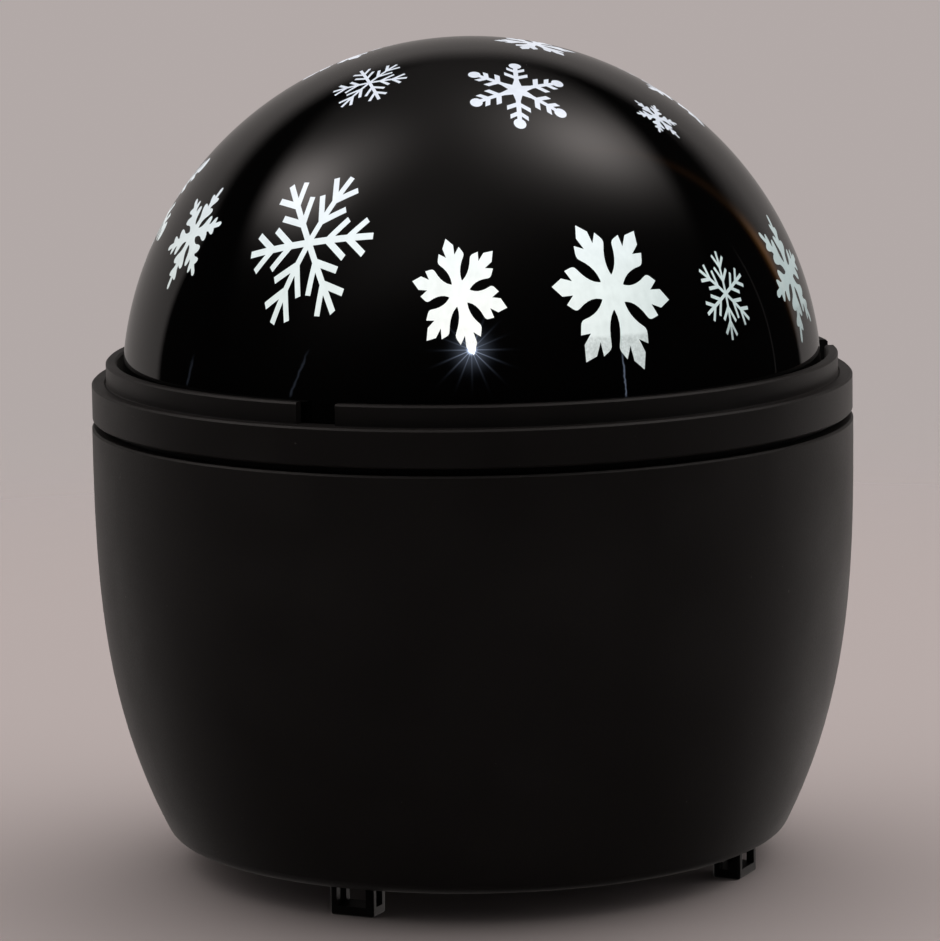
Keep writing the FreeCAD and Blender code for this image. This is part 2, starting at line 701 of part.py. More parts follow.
def wire(points):
    """A round insulated wire that runs through the points."""
    corners = [V(*p) for p in points]
    section = Part.Wire(Part.makeCircle(WIRE_R, corners[0], corners[1] - corners[0]))
    return bent_path(corners).makePipeShell([section], True, False)


def battery_wires():
    """From the solder tabs of the first and last contact plate to the battery connector."""
    tab_x = TUB_X - PLATE_T / 2.0
    tab_z = TUB_TOP + TAB_RISE
    x, y = CONNECTORS["battery"]
    plus = [(tab_x, -CELL_PITCH, tab_z), (tab_x, -CELL_PITCH, WIRE_HIGH), (4.0, -19.0, WIRE_HIGH + 5.0)]
    plus += [(x, y - PIN_GAP, WIRE_HIGH + 3.0), (x, y - PIN_GAP, CONNECTOR_TOP)]
    minus = [(-tab_x, CELL_PITCH, tab_z), (-tab_x, CELL_PITCH, WIRE_HIGH - 4.0)]
    minus += [(x, y + PIN_GAP, WIRE_HIGH), (x, y + PIN_GAP, CONNECTOR_TOP)]
    return [wire(plus), wire(minus)]


def switch_wire(side):
    x, y = CONNECTORS["switch"]
    x = x + side * PIN_GAP
    pin_x = SWITCH_X + side * SWITCH_PIN_X
    pin_top = COVER_TOP + SWITCH_H + SWITCH_PIN_L
    low = TUB_TOP + WIRE_BEND
    path = [(pin_x, SWITCH_Y, pin_top), (pin_x, SWITCH_Y, low), (x, y - 3.0 * WIRE_BEND, WIRE_HIGH)]
    return wire(path + [(x, y, WIRE_HIGH), (x, y, CONNECTOR_TOP)])


def motor_wire(side):
    """Down from the terminal, then up and over into the motor connector."""
    x, y = CONNECTORS["motor"]
    y = y + side * PIN_GAP
    terminal = DECK_LOW - GEARBOX_H - CAN_H - END_CAP_H - TERMINAL_L
    low = terminal - 5.0
    path = [(MOTOR_X, side * TERMINAL_Y, terminal), (MOTOR_X, side * TERMINAL_Y, low)]
    path += [(x + 9.0, side * 2.2, low), (x + 7.0, side * 2.0, WIRE_HIGH)]
    return wire(path + [(x, y, WIRE_HIGH), (x, y, CONNECTOR_TOP)])


def led_wire(side):
    """Straight up through the hollow post to the lamp's board."""
    x, y = CONNECTORS["led"]
    x = x + side * PIN_GAP
    path = [(x, y, CONNECTOR_TOP), (x, y, WIRE_HIGH), (x, 0.0, DECK_LOW - LEDGE_T), (x, 0.0, POST_TOP)]
    return wire(path)


def wire_set():
    """Battery, switch, motor and lamp leads, in pairs, to the board's connectors."""
    wires = battery_wires()
    for side in (-1, 1):
        wires += [switch_wire(side), motor_wire(side), led_wire(side)]
    return Part.makeCompound(wires)


# ---- deck and LED post ----
def deck_plate():
    """The disc that carries the post and the motor, stiffened by a rib below."""
    deck = disc(DECK_R, DECK_LOW, DECK_TOP)
    rib_in = DECK_RIB_R - DECK_RIB_W / 2.0
    rib = tube(rib_in, rib_in + DECK_RIB_W, DECK_LOW - DECK_RIB_H, DECK_LOW + EDGE)
    deck = deck.fuse(rib).removeSplitter()
    low = DECK_LOW - PAST
    high = DECK_TOP + PAST
    holes = [disc(WIRE_HOLE_R, low, high), disc(SHAFT_HOLE_R, low, high, MOTOR_X, 0)]
    hole_r = MOTOR_SHANK_R + SCREW_PLAY
    for side in (-1, 1):
        y = side * MOTOR_SCREW_Y
        sink = Part.makeCone(hole_r, MOTOR_HEAD_R + SCREW_PLAY, SINK_H, V(MOTOR_X, y, DECK_TOP - SINK_H))
        holes.append(disc(hole_r, low, DECK_TOP, MOTOR_X, y).fuse(sink))
    clamp = disc(CLAMP_HOLE_R, low, high, *at_front(CLAMP_R))
    holes += ring_of(clamp, SCREW_COUNT, SCREW_AZ)
    pilot = disc(POST_PILOT_R, low, high, *at_front(POST_SCREW_R))
    holes += ring_of(pilot, KEY_COUNT, 0.0)
    return cut_all(deck, holes)


def collar_screws():
    """Four screws from below: ledge, then deck, then collar lug."""
    head_z = DECK_LOW - LEDGE_T
    one = flipped(screw(CLAMP_SCREW, head_z), head_z)
    return Part.makeCompound(ring_of(moved(one, *at_front(CLAMP_R)), SCREW_COUNT, SCREW_AZ))


def led_post():
    """The fixed hollow post that the turntable turns on and the lamp stands on."""
    flange_top = DECK_TOP + POST_FLANGE_T
    post = tube(POST_IN_R, POST_R, DECK_TOP, POST_TOP)
    flange = tube(POST_IN_R, POST_FLANGE_R, DECK_TOP, flange_top)
    post = post.fuse(flange).removeSplitter()
    hole = disc(POST_HOLE_R, DECK_TOP - PAST, flange_top + PAST, *at_front(POST_SCREW_R))
    groove = tube(POST_R - CLIP_W, POST_R + PAST, HUB_TOP + GAP, HUB_TOP + GAP + CLIP_T)
    cuts = ring_of(hole, KEY_COUNT, 0.0) + [groove]
    pilot = disc(LED_PILOT_R, POST_TOP - LED_PILOT_L, POST_TOP + PAST)
    cuts += [moved(pilot, side * LED_SCREW_X, 0) for side in (-1, 1)]
    return cut_all(post, cuts)


def post_screws():
    head_z = DECK_TOP + POST_FLANGE_T
    one = screw(POST_SCREW, head_z)
    return Part.makeCompound(ring_of(moved(one, *at_front(POST_SCREW_R)), KEY_COUNT, 0.0))


def retaining_ring():
    """The spring clip that keeps the turntable on its post."""
    ring = tube(POST_R - CLIP_W + RUN / 2.0, CLIP_OUT_R, HUB_TOP + GAP, HUB_TOP + GAP + CLIP_T)
    return ring.cut(block(0, POST_R, CLIP_MOUTH, POST_R, HUB_TOP, POST_TOP))


def led_board():
    board = disc(LED_BOARD_R, POST_TOP, LED_BOARD_TOP)
    hole = disc(LED_HOLE_R, POST_TOP - PAST, LED_BOARD_TOP + PAST)
    return cut_all(board, [moved(hole, side * LED_SCREW_X, 0) for side in (-1, 1)])


def led_board_screws():
    one = screw(LED_SCREW, LED_BOARD_TOP)
    return Part.makeCompound([moved(one, side * LED_SCREW_X, 0) for side in (-1, 1)])


def projector_led():
    """A 5 mm lamp: flanged base, straight wall and a round nose."""
    flange = disc(LED_R + LED_FLANGE_W, LED_BOARD_TOP, LED_BOARD_TOP + LED_FLANGE_H)
    wall = disc(LED_R, LED_BOARD_TOP, LED_BOARD_TOP + LED_H - LED_R)
    nose = Part.makeSphere(LED_R, V(0, 0, LED_BOARD_TOP + LED_H - LED_R))
    return fuse_all(flange, [wall, nose])


# ---- motor ----
def gearbox_case():
    low = DECK_LOW - GEARBOX_H
    case = rounded_block(MOTOR_X, 0, MOTOR_D, MOTOR_W, low, DECK_LOW, 0.5)
    holes = [disc(SHAFT_R + RUN, DECK_LOW - SHAFT_DEEP - 2 * RUN, DECK_LOW + PAST, MOTOR_X, 0)]
    screw_low = DECK_TOP - MOTOR_SHANK_L - 2 * EDGE
    for side in (-1, 1):
        y = side * MOTOR_SCREW_Y
        holes.append(disc(MOTOR_SHANK_R + RUN, screw_low, DECK_LOW + PAST, MOTOR_X, y))
    return cut_all(case, holes)


def motor_can():
    top = DECK_LOW - GEARBOX_H
    can = disc(MOTOR_W / 2.0, top - CAN_H, top, MOTOR_X, 0)
    return can.common(block(MOTOR_X, 0, MOTOR_D, MOTOR_W + PAST, top - CAN_H, top))


def motor_end_cap():
    top = DECK_LOW - GEARBOX_H - CAN_H
    cap = disc(MOTOR_W / 2.0 - END_CAP_STEP, top - END_CAP_H, top, MOTOR_X, 0)
    return cap.common(block(MOTOR_X, 0, MOTOR_D - 2 * END_CAP_STEP, MOTOR_W, top - END_CAP_H, top))


def motor_terminals():
    top = DECK_LOW - GEARBOX_H - CAN_H - END_CAP_H
    tag = block(MOTOR_X, 0, TERMINAL_T, TERMINAL_W, top - TERMINAL_L, top)
    return Part.makeCompound([moved(tag, 0, side * TERMINAL_Y) for side in (-1, 1)])


def motor_screws():
    """Countersunk screws through the deck into the gearbox face."""
    head = Part.makeCone(MOTOR_SHANK_R, MOTOR_HEAD_R, SINK_H, V(0, 0, DECK_TOP - SINK_H))
    shank = disc(MOTOR_SHANK_R, DECK_TOP - MOTOR_SHANK_L, DECK_TOP - SINK_H + RUN)
    slot = block(0, 0, 2.2, 0.4, DECK_TOP - 0.35, DECK_TOP + PAST)
    one = head.fuse(shank).removeSplitter().cut(slot)
    return Part.makeCompound([moved(one, MOTOR_X, side * MOTOR_SCREW_Y) for side in (-1, 1)])


def output_shaft():
    return disc(SHAFT_R, DECK_LOW - SHAFT_DEEP, TABLE_LOW - GAP, MOTOR_X, 0)


# ---- gears ----
def tooth_flank(base_r, tip_r, half_angle, steps=8):
    """Points of one involute flank, from its base circle to the tip, as radius and angle."""
    pitch_roll = math.tan(PRESSURE_ANGLE) - PRESSURE_ANGLE
    points = []
    for i in range(steps + 1):
        r = base_r + (tip_r - base_r) * i / steps
        alpha = math.acos(min(1.0, base_r / r))
        angle = half_angle + pitch_roll - (math.tan(alpha) - alpha)
        points.append((r, angle))
    return points


def gear(teeth, low, high, bore_r):
    """A spur gear with involute flanks and one tooth centred on +X."""
    pitch_r = MODULE * teeth / 2.0
    base_r = pitch_r * math.cos(PRESSURE_ANGLE)
    root_r = pitch_r - 1.25 * MODULE
    tip_r = pitch_r + MODULE
    half = math.pi / (2.0 * teeth) - BACKLASH / (4.0 * pitch_r)
    flank = [p for p in tooth_flank(base_r, tip_r, half) if p[0] > root_r + RUN]
    root_angle = flank[0][1]
    edges = []

    def at(r, angle):
        return V(r * math.cos(angle), r * math.sin(angle), low)

    for i in range(teeth):
        turn = 2.0 * math.pi * i / teeth
        rising = [at(r, turn - a) for r, a in flank]
        falling = [at(r, turn + a) for r, a in reversed(flank)]
        up = Part.BSplineCurve()
        up.interpolate(rising)
        down = Part.BSplineCurve()
        down.interpolate(falling)
        start = at(root_r, turn - root_angle)
        end = at(root_r, turn + root_angle)
        next_start = at(root_r, turn + 2.0 * math.pi / teeth - root_angle)
        mid_root = at(root_r, turn + math.pi / teeth)
        edges.append(Part.makeLine(start, rising[0]))
        edges.append(up.toShape())
        edges.append(Part.Arc(rising[-1], at(tip_r, turn), falling[0]).toShape())
        edges.append(down.toShape())
        edges.append(Part.makeLine(falling[-1], end))
        edges.append(Part.Arc(end, mid_root, next_start).toShape())
    solid = Part.Face(Part.Wire(edges)).extrude(V(0, 0, high - low))
    return solid.cut(disc(bore_r, low - PAST, high + PAST))


def table_gear():
    ring = gear(TABLE_TEETH, GEAR_LOW, TABLE_LOW, GEAR_IN_R)
    hole = disc(GEAR_HOLE_R, GEAR_LOW - PAST, TABLE_LOW + PAST, *at_front(GEAR_SCREW_R))
    sink = disc(GEAR_SINK_R, GEAR_LOW - PAST, GEAR_LOW + GEAR_SINK_H, *at_front(GEAR_SCREW_R))
    return cut_all(ring, ring_of(hole.fuse(sink), KEY_COUNT, GEAR_SCREW_AZ))


def gear_screws():
    head_z = GEAR_LOW + GEAR_SINK_H
    one = flipped(screw(GEAR_SCREW, head_z), head_z)
    return Part.makeCompound(ring_of(moved(one, *at_front(GEAR_SCREW_R)), KEY_COUNT, GEAR_SCREW_AZ))


def motor_pinion():
    """The pinion is turned by half a tooth, so that a gap faces the table gear's tooth on +X."""
    pinion = gear(PINION_TEETH, GEAR_LOW - PINION_DROP, TABLE_LOW - PINION_DROP, SHAFT_R)
    half_tooth = 180.0 / PINION_TEETH
    return moved(turned(pinion, half_tooth), MOTOR_X, 0)


# ---- turntable and dome ----
def turntable():
    """The turning disc: hub, spigot and keys for the dome, and six ribs."""
    plate = tube(BUSH_R, TABLE_R, TABLE_LOW, TABLE_TOP)
    hub = tube(BUSH_R, BUSH_FLANGE_R, DECK_TOP + POST_FLANGE_T + BUSH_FLANGE_T, HUB_TOP)
    root = TABLE_TOP - TABLE_T / 4.0
    spigot = tube(SPIGOT_R - SPIGOT_WALL, SPIGOT_R, root, TABLE_TOP + SPIGOT_H)
    key_in = SPIGOT_R - SPIGOT_WALL / 2.0
    key_out = TABLE_R - KEY_GAP
    key = block(0, -(key_in + key_out) / 2.0, KEY_W, key_out - key_in, root, TABLE_TOP + KEY_H)
    rib_in = BUSH_FLANGE_R - PAST / 2.0
    rib_out = SPIGOT_R - SPIGOT_WALL / 2.0
    rib = block(0, -(rib_in + rib_out) / 2.0, RIB_W, rib_out - rib_in, root, TABLE_TOP + TABLE_RIB_H)
    parts = [hub, spigot] + ring_of(key, KEY_COUNT, 0.0) + ring_of(rib, 2 * KEY_COUNT, 30.0)
    table = fuse_all(plate, parts)
    pilot = disc(GEAR_PILOT_R, TABLE_LOW - PAST, TABLE_TOP - EDGE, *at_front(GEAR_SCREW_R))
    return cut_all(table, ring_of(pilot, KEY_COUNT, GEAR_SCREW_AZ))


def hub_bush():
    low = DECK_TOP + POST_FLANGE_T
    sleeve = tube(POST_R + RUN, BUSH_R, low, HUB_TOP)
    flange = tube(POST_R + RUN, BUSH_FLANGE_R, low, low + BUSH_FLANGE_T)
    return sleeve.fuse(flange).removeSplitter()


def half_ball(radius, low):
    """A half sphere on the dome's centre plane, with a straight skirt down to a height."""
    upper = disc(radius + PAST, DOME_Z, DOME_Z + radius + PAST)
    ball = Part.makeSphere(radius, V(0, 0, DOME_Z)).common(upper)
    return ball.fuse(disc(radius, low, DOME_Z)).removeSplitter()


def projection_dome():
    """The dome's wall, with slots in its skirt for the turntable's keys."""
    solid = half_ball(DOME_R, TABLE_TOP)
    hollow = half_ball(DOME_R - DOME_WALL, TABLE_TOP - PAST)
    slot_h = TABLE_TOP + KEY_H + 2 * KEY_GAP
    slot_d = 2 * DOME_WALL + PAST
    slot = block(0, -DOME_R, KEY_W + 2 * KEY_GAP, slot_d, TABLE_TOP - PAST, slot_h)
    return cut_all(solid, [hollow] + ring_of(slot, KEY_COUNT, 0.0))


PARTS = [body_shell, collar_ring, base_cover, base_screws, battery_door, battery_cells, contact_plates]
PARTS += [cell_springs, switch_housing, switch_slider, switch_screws, control_board, board_screws]
PARTS += [control_chip, filter_capacitor, resistors, wire_connectors, wire_set, deck_plate, collar_screws]
PARTS += [led_post, post_screws, retaining_ring, led_board, led_board_screws, projector_led, gearbox_case]
PARTS += [motor_can, motor_end_cap, motor_terminals, motor_screws, output_shaft, motor_pinion]
PARTS += [table_gear, gear_screws, turntable, hub_bush, projection_dome]

os.makedirs("parts", exist_ok=True)
for make in PARTS:
    make().exportStep("parts/" + make.__name__ + ".step")
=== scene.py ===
import json
import math

import bmesh
import bpy
from mathutils import Euler, Matrix, Vector
from mathutils.geometry import delaunay_2d_cdt


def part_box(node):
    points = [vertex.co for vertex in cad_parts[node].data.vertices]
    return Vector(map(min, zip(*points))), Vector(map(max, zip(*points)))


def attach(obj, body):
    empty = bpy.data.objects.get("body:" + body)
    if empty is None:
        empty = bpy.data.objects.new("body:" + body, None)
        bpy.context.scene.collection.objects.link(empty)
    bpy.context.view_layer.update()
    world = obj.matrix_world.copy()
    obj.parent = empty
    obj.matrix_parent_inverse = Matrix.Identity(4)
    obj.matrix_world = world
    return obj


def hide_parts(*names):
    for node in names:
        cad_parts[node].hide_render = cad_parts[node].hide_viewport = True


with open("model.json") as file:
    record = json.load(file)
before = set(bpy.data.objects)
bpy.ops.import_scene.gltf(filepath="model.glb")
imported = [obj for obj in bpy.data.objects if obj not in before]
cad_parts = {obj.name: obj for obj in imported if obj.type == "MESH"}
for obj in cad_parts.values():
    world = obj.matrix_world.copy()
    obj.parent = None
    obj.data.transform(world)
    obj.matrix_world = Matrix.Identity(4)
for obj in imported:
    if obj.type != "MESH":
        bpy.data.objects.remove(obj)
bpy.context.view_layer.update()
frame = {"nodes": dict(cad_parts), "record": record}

# The looks of a snowflake projector lamp: a glossy black dome with glowing snowflake windows on a black
# textured pot. Metres, in the frame's own axes: +Z up, the front is -Y.

MM = 0.001
TINY = 1e-12
dome_low, dome_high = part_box("projection_dome")
led_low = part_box("projector_led")[0]

# the dome: a hemisphere about DOME_Z on a short straight skirt, with a thin print on its outside
DOME_R = (dome_high.x - dome_low.x) / 2.0
DOME_Z = dome_high.z - DOME_R
DOME_WALL = 1.6 * MM
SKIRT = DOME_Z - dome_low.z
PRINT_DEPTH = 0.12 * MM

# the lit chip sits this far above the LED's lowest point, and glares through the dome at this elevation
CHIP_RISE = 3.3 * MM
GLARE_ELEVATION = math.radians(13.7)
GLARE_AT = (0.0, -DOME_R * math.cos(GLARE_ELEVATION), DOME_Z + DOME_R * math.sin(GLARE_ELEVATION))


# ---------------------------------------------------------------- shader helpers
class Nodes:
    """Builds a node tree with short calls; sockets or plain numbers may be mixed as inputs."""

    def __init__(self, tree):
        self.tree = tree
        self.tree.nodes.clear()

    def add(self, kind, inputs=None, **settings):
        node = self.tree.nodes.new(kind)
        for key, value in settings.items():
            setattr(node, key, value)
        for key, value in (inputs or {}).items():
            self.feed(node.inputs[key], value)
        return node

    def feed(self, socket, value):
        if isinstance(value, bpy.types.NodeSocket):
            self.tree.links.new(value, socket)
        else:
            socket.default_value = value

    def math(self, operation, *values, clamp=False):
        node = self.add("ShaderNodeMath", operation=operation, use_clamp=clamp)
        for socket, value in zip(node.inputs, values):
            self.feed(socket, value)
        return node.outputs[0]

    def vector_math(self, operation, *values):
        node = self.add("ShaderNodeVectorMath", operation=operation)
        for socket, value in zip(node.inputs, values):
            self.feed(socket, value)
        return node

    def step(self, value, low, high):
        """Smooth ramp from 0 at low to 1 at high; low may be above high."""
        node = self.add("ShaderNodeMapRange", interpolation_type="SMOOTHSTEP")
        self.feed(node.inputs["Value"], value)
        node.inputs["From Min"].default_value = low
        node.inputs["From Max"].default_value = high
        return node.outputs["Result"]

    def ramp(self, value, low, high, to_low, to_high):
        node = self.add("ShaderNodeMapRange")
        self.feed(node.inputs["Value"], value)
        node.inputs["From Min"].default_value = low
        node.inputs["From Max"].default_value = high
        node.inputs["To Min"].default_value = to_low
        node.inputs["To Max"].default_value = to_high
        return node.outputs["Result"]

    def mix(self, factor, a, b):
        node = self.add("ShaderNodeMix", data_type="RGBA")
        self.feed(node.inputs["Factor"], factor)
        self.feed(node.inputs[6], a)
        self.feed(node.inputs[7], b)
        return node.outputs[2]

    def noise(self, vector, scale, detail=2.0, rough=0.5):
        node = self.add("ShaderNodeTexNoise")
        self.feed(node.inputs["Vector"], vector)
        node.inputs["Scale"].default_value = scale
        node.inputs["Detail"].default_value = detail
        node.inputs["Roughness"].default_value = rough
        return node.outputs["Fac"]

    def bump(self, height, strength, distance, normal=None):
        node = self.add("ShaderNodeBump")
        self.feed(node.inputs["Height"], height)
        node.inputs["Strength"].default_value = strength
        node.inputs["Distance"].default_value = distance
        if normal is not None:
            self.feed(node.inputs["Normal"], normal)
        return node.outputs["Normal"]

    def object_point(self):
        return self.add("ShaderNodeTexCoord").outputs["Object"]


def rgba(colour, alpha=1.0):
    return (colour[0], colour[1], colour[2], alpha)


def new_material(name):
    material = bpy.data.materials.new(name)
    material.use_nodes = True
    return material, Nodes(material.node_tree)


def principled(nodes, **inputs):
    shader = nodes.add("ShaderNodeBsdfPrincipled")
    for key, value in inputs.items():
        nodes.feed(shader.inputs[key.replace("_", " ")], value)
    out = nodes.add("ShaderNodeOutputMaterial")
    nodes.tree.links.new(shader.outputs[0], out.inputs["Surface"])
    return shader


def partly_clear(nodes, solid, clear, share):
    """Ends a material with a solid shader that gives way to a clear one by the given share."""
    blend = nodes.add("ShaderNodeMixShader", {"Fac": share})
    nodes.tree.links.new(solid.outputs[0], blend.inputs[1])
    nodes.tree.links.new(clear.outputs[0], blend.inputs[2])
    out = nodes.add("ShaderNodeOutputMaterial")
    nodes.tree.links.new(blend.outputs[0], out.inputs["Surface"])


# ---------------------------------------------------------------- materials
SPARK_DEPTH = 0.03 * MM
LINT = (0.3, 0.28, 0.25, 1)
SHEEN_TINT = (1.0, 0.9, 0.84, 1.0)


def moulded_plastic(name, colour, rough, grain_mm=0.25, grain=0.25, vary=0.15,
                    specular=0.5, sheen=0.0, dust=0.0):
    """Moulded plastic: fine spark-eroded grain, slight gloss changes and bits of lint; painted shade on faces
    that point up, which get weaker specular and no sheen.
    """
    material, n = new_material(name)
    point = n.object_point()
    fine = n.noise(point, 1.0 / (grain_mm * MM), 2.0, 0.6)
    broad = n.noise(point, 60.0, 3.0, 0.55)
    tone = n.ramp(broad, 0.3, 0.7, 1.0 - vary, 1.0 + vary)
    lint = n.step(n.noise(point, 1100.0, 1.0), 0.8, 0.84)
    base = n.add("ShaderNodeMix", data_type="RGBA", blend_type="MULTIPLY")
    base.inputs["Factor"].default_value = 1.0
    base.inputs[6].default_value = rgba(colour)
    grey = n.add("ShaderNodeCombineColor", {"Red": tone, "Green": tone, "Blue": tone})
    n.feed(base.inputs[7], grey.outputs[0])
    gloss = n.ramp(broad, 0.25, 0.75, rough - 0.05, rough + 0.05)
    grain_gloss = n.math("ADD", gloss, n.ramp(fine, 0.3, 0.7, -0.04, 0.04), clamp=True)
    normal = n.bump(fine, grain, SPARK_DEPTH)
    facing = n.add("ShaderNodeNewGeometry").outputs["Normal"]
    # painted shade: 1 on upright walls, 0 on faces that point up; there specular drops to 0.4 of its value
    # and the sheen goes
    upright = n.step(n.add("ShaderNodeSeparateXYZ", {"Vector": facing}).outputs["Z"], 0.85, 0.4)
    dusted = n.mix(n.math("MULTIPLY", lint, dust), base.outputs[2], LINT)
    shader = principled(n, Base_Color=dusted, Roughness=grain_gloss, Normal=normal)
    n.feed(shader.inputs["Specular IOR Level"], n.ramp(upright, 0.0, 1.0, specular * 0.4, specular))
    n.feed(shader.inputs["Sheen Weight"], n.math("MULTIPLY", upright, sheen))
    shader.inputs["Sheen Roughness"].default_value = 0.3
    shader.inputs["Sheen Tint"].default_value = SHEEN_TINT
    return material


def drawn_metal(name, colour, rough, stretch=(1.0, 1.0, 12.0)):
    """Bare metal with fine drawn lines and slight tarnish."""
    material, n = new_material(name)
    point = n.object_point()
    lines_scale = 900.0
    spread = (stretch[0] * lines_scale, stretch[1] * lines_scale, lines_scale / stretch[2])
    lines_at = n.vector_math("MULTIPLY", point, spread)
    lines = n.noise(lines_at.outputs[0], 1.0, 3.0, 0.6)
    cloud = n.noise(point, 220.0, 3.0, 0.5)
    base = n.mix(n.ramp(cloud, 0.3, 0.7, 0.0, 0.35), rgba(colour), rgba([c * 0.6 for c in colour]))
    gloss = n.ramp(lines, 0.3, 0.7, rough - 0.08, rough + 0.12)
    normal = n.bump(lines, 0.15, 0.01 * MM)
    principled(n, Base_Color=base, Metallic=1.0, Roughness=gloss, Normal=normal)
    return material


def circuit_board(name, mask, copper):
    """Solder mask over a raised track pattern, with bare pads."""
    material, n = new_material(name)
    point = n.object_point()
    brick = n.add("ShaderNodeTexBrick", {"Vector": point}, offset=0.37)
    brick.inputs["Scale"].default_value = 320.0
    brick.inputs["Mortar Size"].default_value = 0.035
    brick.inputs["Color1"].default_value = (0, 0, 0, 1)
    brick.inputs["Color2"].default_value = (0, 0, 0, 1)
    brick.inputs["Mortar"].default_value = (1, 1, 1, 1)
    cells = n.add("ShaderNodeTexVoronoi", {"Vector": point})
    cells.inputs["Scale"].default_value = 260.0
    pads = n.step(cells.outputs["Distance"], 0.13, 0.1)
    track = brick.outputs["Fac"]
    base = n.mix(track, rgba(mask), rgba([c * 1.6 for c in mask]))
    base = n.mix(pads, base, rgba(copper))
    normal = n.bump(track, 0.3, 0.04 * MM)
    rough = n.ramp(n.noise(point, 400.0), 0.3, 0.7, 0.25, 0.38)
    principled(n, Base_Color=base, Roughness=rough, Metallic=n.math("MULTIPLY", pads, 0.9), Normal=normal)
    return material


def wire_insulation(name):
    """Soft PVC; the leads come in pairs, red on the -X or -Y side and black on the other."""
    material, n = new_material(name)
    point = n.object_point()
    split = n.add("ShaderNodeSeparateXYZ", {"Vector": point})
    side = n.step(n.math("ADD", split.outputs["X"], split.outputs["Y"]), -0.02 * MM, 0.02 * MM)
    base = n.mix(side, (0.32, 0.012, 0.01, 1), (0.012, 0.012, 0.013, 1))
    wave = n.noise(point, 900.0, 2.0)
    normal = n.bump(wave, 0.2, 0.02 * MM)
    rough = n.ramp(n.noise(point, 300.0), 0.3, 0.7, 0.38, 0.55)
    principled(n, Base_Color=base, Roughness=rough, Normal=normal)
    return material


def cell_sleeve(name, low, high):
    """Plain dark sleeve of the cells with a coppery shoulder band, bare steel at both ends."""
    material, n = new_material(name)
    point = n.object_point()
    x = n.add("ShaderNodeSeparateXYZ", {"Vector": point}).outputs["X"]
    end_gap = 0.8 * MM
    soft_gap = end_gap * 1.1
    left_end = n.step(x, low + soft_gap, low + end_gap)
    right_end = n.step(x, high - soft_gap, high - end_gap)
    ends = n.math("MAXIMUM", left_end, right_end)
    band_start = 12.0 * MM
    band_end = 20.0 * MM
    band_blur = 0.2 * MM
    band_left = n.step(x, band_start, band_start + band_blur)
    band_right = n.step(x, band_end + band_blur, band_end)
    band = n.math("MULTIPLY", band_left, band_right)
    base = n.mix(band, (0.012, 0.016, 0.03, 1), (0.55, 0.28, 0.1, 1))
    base = n.mix(ends, base, (0.55, 0.54, 0.52, 1))
    metal = n.math("MAXIMUM", ends, n.math("MULTIPLY", band, 0.9))
    rough = n.ramp(n.noise(point, 200.0, 3.0), 0.3, 0.7, 0.22, 0.38)
    normal = n.bump(n.noise(point, 700.0), 0.1, 0.02 * MM)
    principled(n, Base_Color=base, Metallic=metal, Roughness=rough, Normal=normal)
    return material


def led_epoxy(name):
    """Water-clear lens: bright core that falls off towards the rim."""
    material, n = new_material(name)
    facing = n.add("ShaderNodeLayerWeight", {"Blend": 0.35}).outputs["Facing"]
    cloud = n.noise(n.object_point(), 700.0)
    glow = n.ramp(facing, 0.0, 0.8, 2.2, 0.25)
    rough = n.ramp(cloud, 0.3, 0.7, 0.04, 0.12)
    shade = {"Base_Color": (0.85, 0.93, 1.0, 1), "Roughness": rough, "Emission_Color": (0.8, 0.92, 1.0, 1)}
    principled(n, **shade, Emission_Strength=glow)
    return material


def led_offset(n, led_at):
    """How far the line of sight passes from the lit chip, sideways and upwards, seen from the dome."""
    geometry = n.add("ShaderNodeNewGeometry")
    toward = n.vector_math("SUBTRACT", led_at, geometry.outputs["Position"]).outputs[0]
    to_led = n.vector_math("NORMALIZE", toward).outputs[0]
    sight = n.vector_math("MULTIPLY", geometry.outputs["Incoming"], (-1.0, -1.0, -1.0)).outputs[0]
    level = n.vector_math("CROSS_PRODUCT", sight, (0.0, 0.0, 1.0)).outputs[0]
    side = n.vector_math("NORMALIZE", level).outputs[0]
    up = n.vector_math("CROSS_PRODUCT", side, sight).outputs[0]
    off = n.vector_math("SUBTRACT", to_led, sight).outputs[0]
    across = n.vector_math("DOT_PRODUCT", off, side).outputs["Value"]
    rise = n.vector_math("DOT_PRODUCT", off, up).outputs["Value"]
    return across, rise


def bell(n, distance, width):
    """Falls from 1 at no distance to nearly 0 at twice the width."""
    share = n.math("DIVIDE", distance, width)
    return n.math("EXPONENT", n.math("MULTIPLY", n.math("MULTIPLY", share, share), -1.0))


GLARE_REACH = 6.0 * MM


def led_glare(n, point, led_at):
    """Star of light where the lit chip is seen straight through the foot of the second snowflake.

    Also returns how far from the chip the line of sight passes."""
    across, rise = led_offset(n, led_at)
    far = n.math("SQRT", n.math("ADD", n.math("MULTIPLY", across, across), n.math("MULTIPLY", rise, rise)))
    turn = n.math("ARCTAN2", rise, across)
    rays = n.math("POWER", n.math("ABSOLUTE", n.math("COSINE", n.math("MULTIPLY", turn, 8.0))), 26.0)
    uneven = n.ramp(n.math("SINE", n.math("MULTIPLY", turn, 3.0)), -1.0, 1.0, 0.35, 1.0)
    reach = n.math("EXPONENT", n.math("DIVIDE", far, -0.022))
    star = n.math("MULTIPLY", n.math("MULTIPLY", rays, uneven), n.math("MULTIPLY", reach, 1.3))
    core = n.math("MULTIPLY", bell(n, far, 0.0085), 5.0)
    halo = n.math("MULTIPLY", bell(n, far, 0.04), 0.12)
    glow = n.math("ADD", core, halo)
    foot = n.vector_math("DISTANCE", point, GLARE_AT).outputs["Value"]
    return n.math("MULTIPLY", n.math("ADD", star, glow), bell(n, foot, GLARE_REACH)), far


# azimuth at the dome's foot, lean (azimuth gained per rise), lowest elevation, highest elevation and width,
# with angles in degrees, then the light let through
PRINT_SCRATCHES = [
    (24.6, -0.02, 5.6, 11.8, 0.12, 0.15),
    (-31.9, 0.39, 6.0, 12.4, 0.2, 0.02),
    (-53.3, 0.25, 6.0, 10.0, 0.3, 0.015),
]


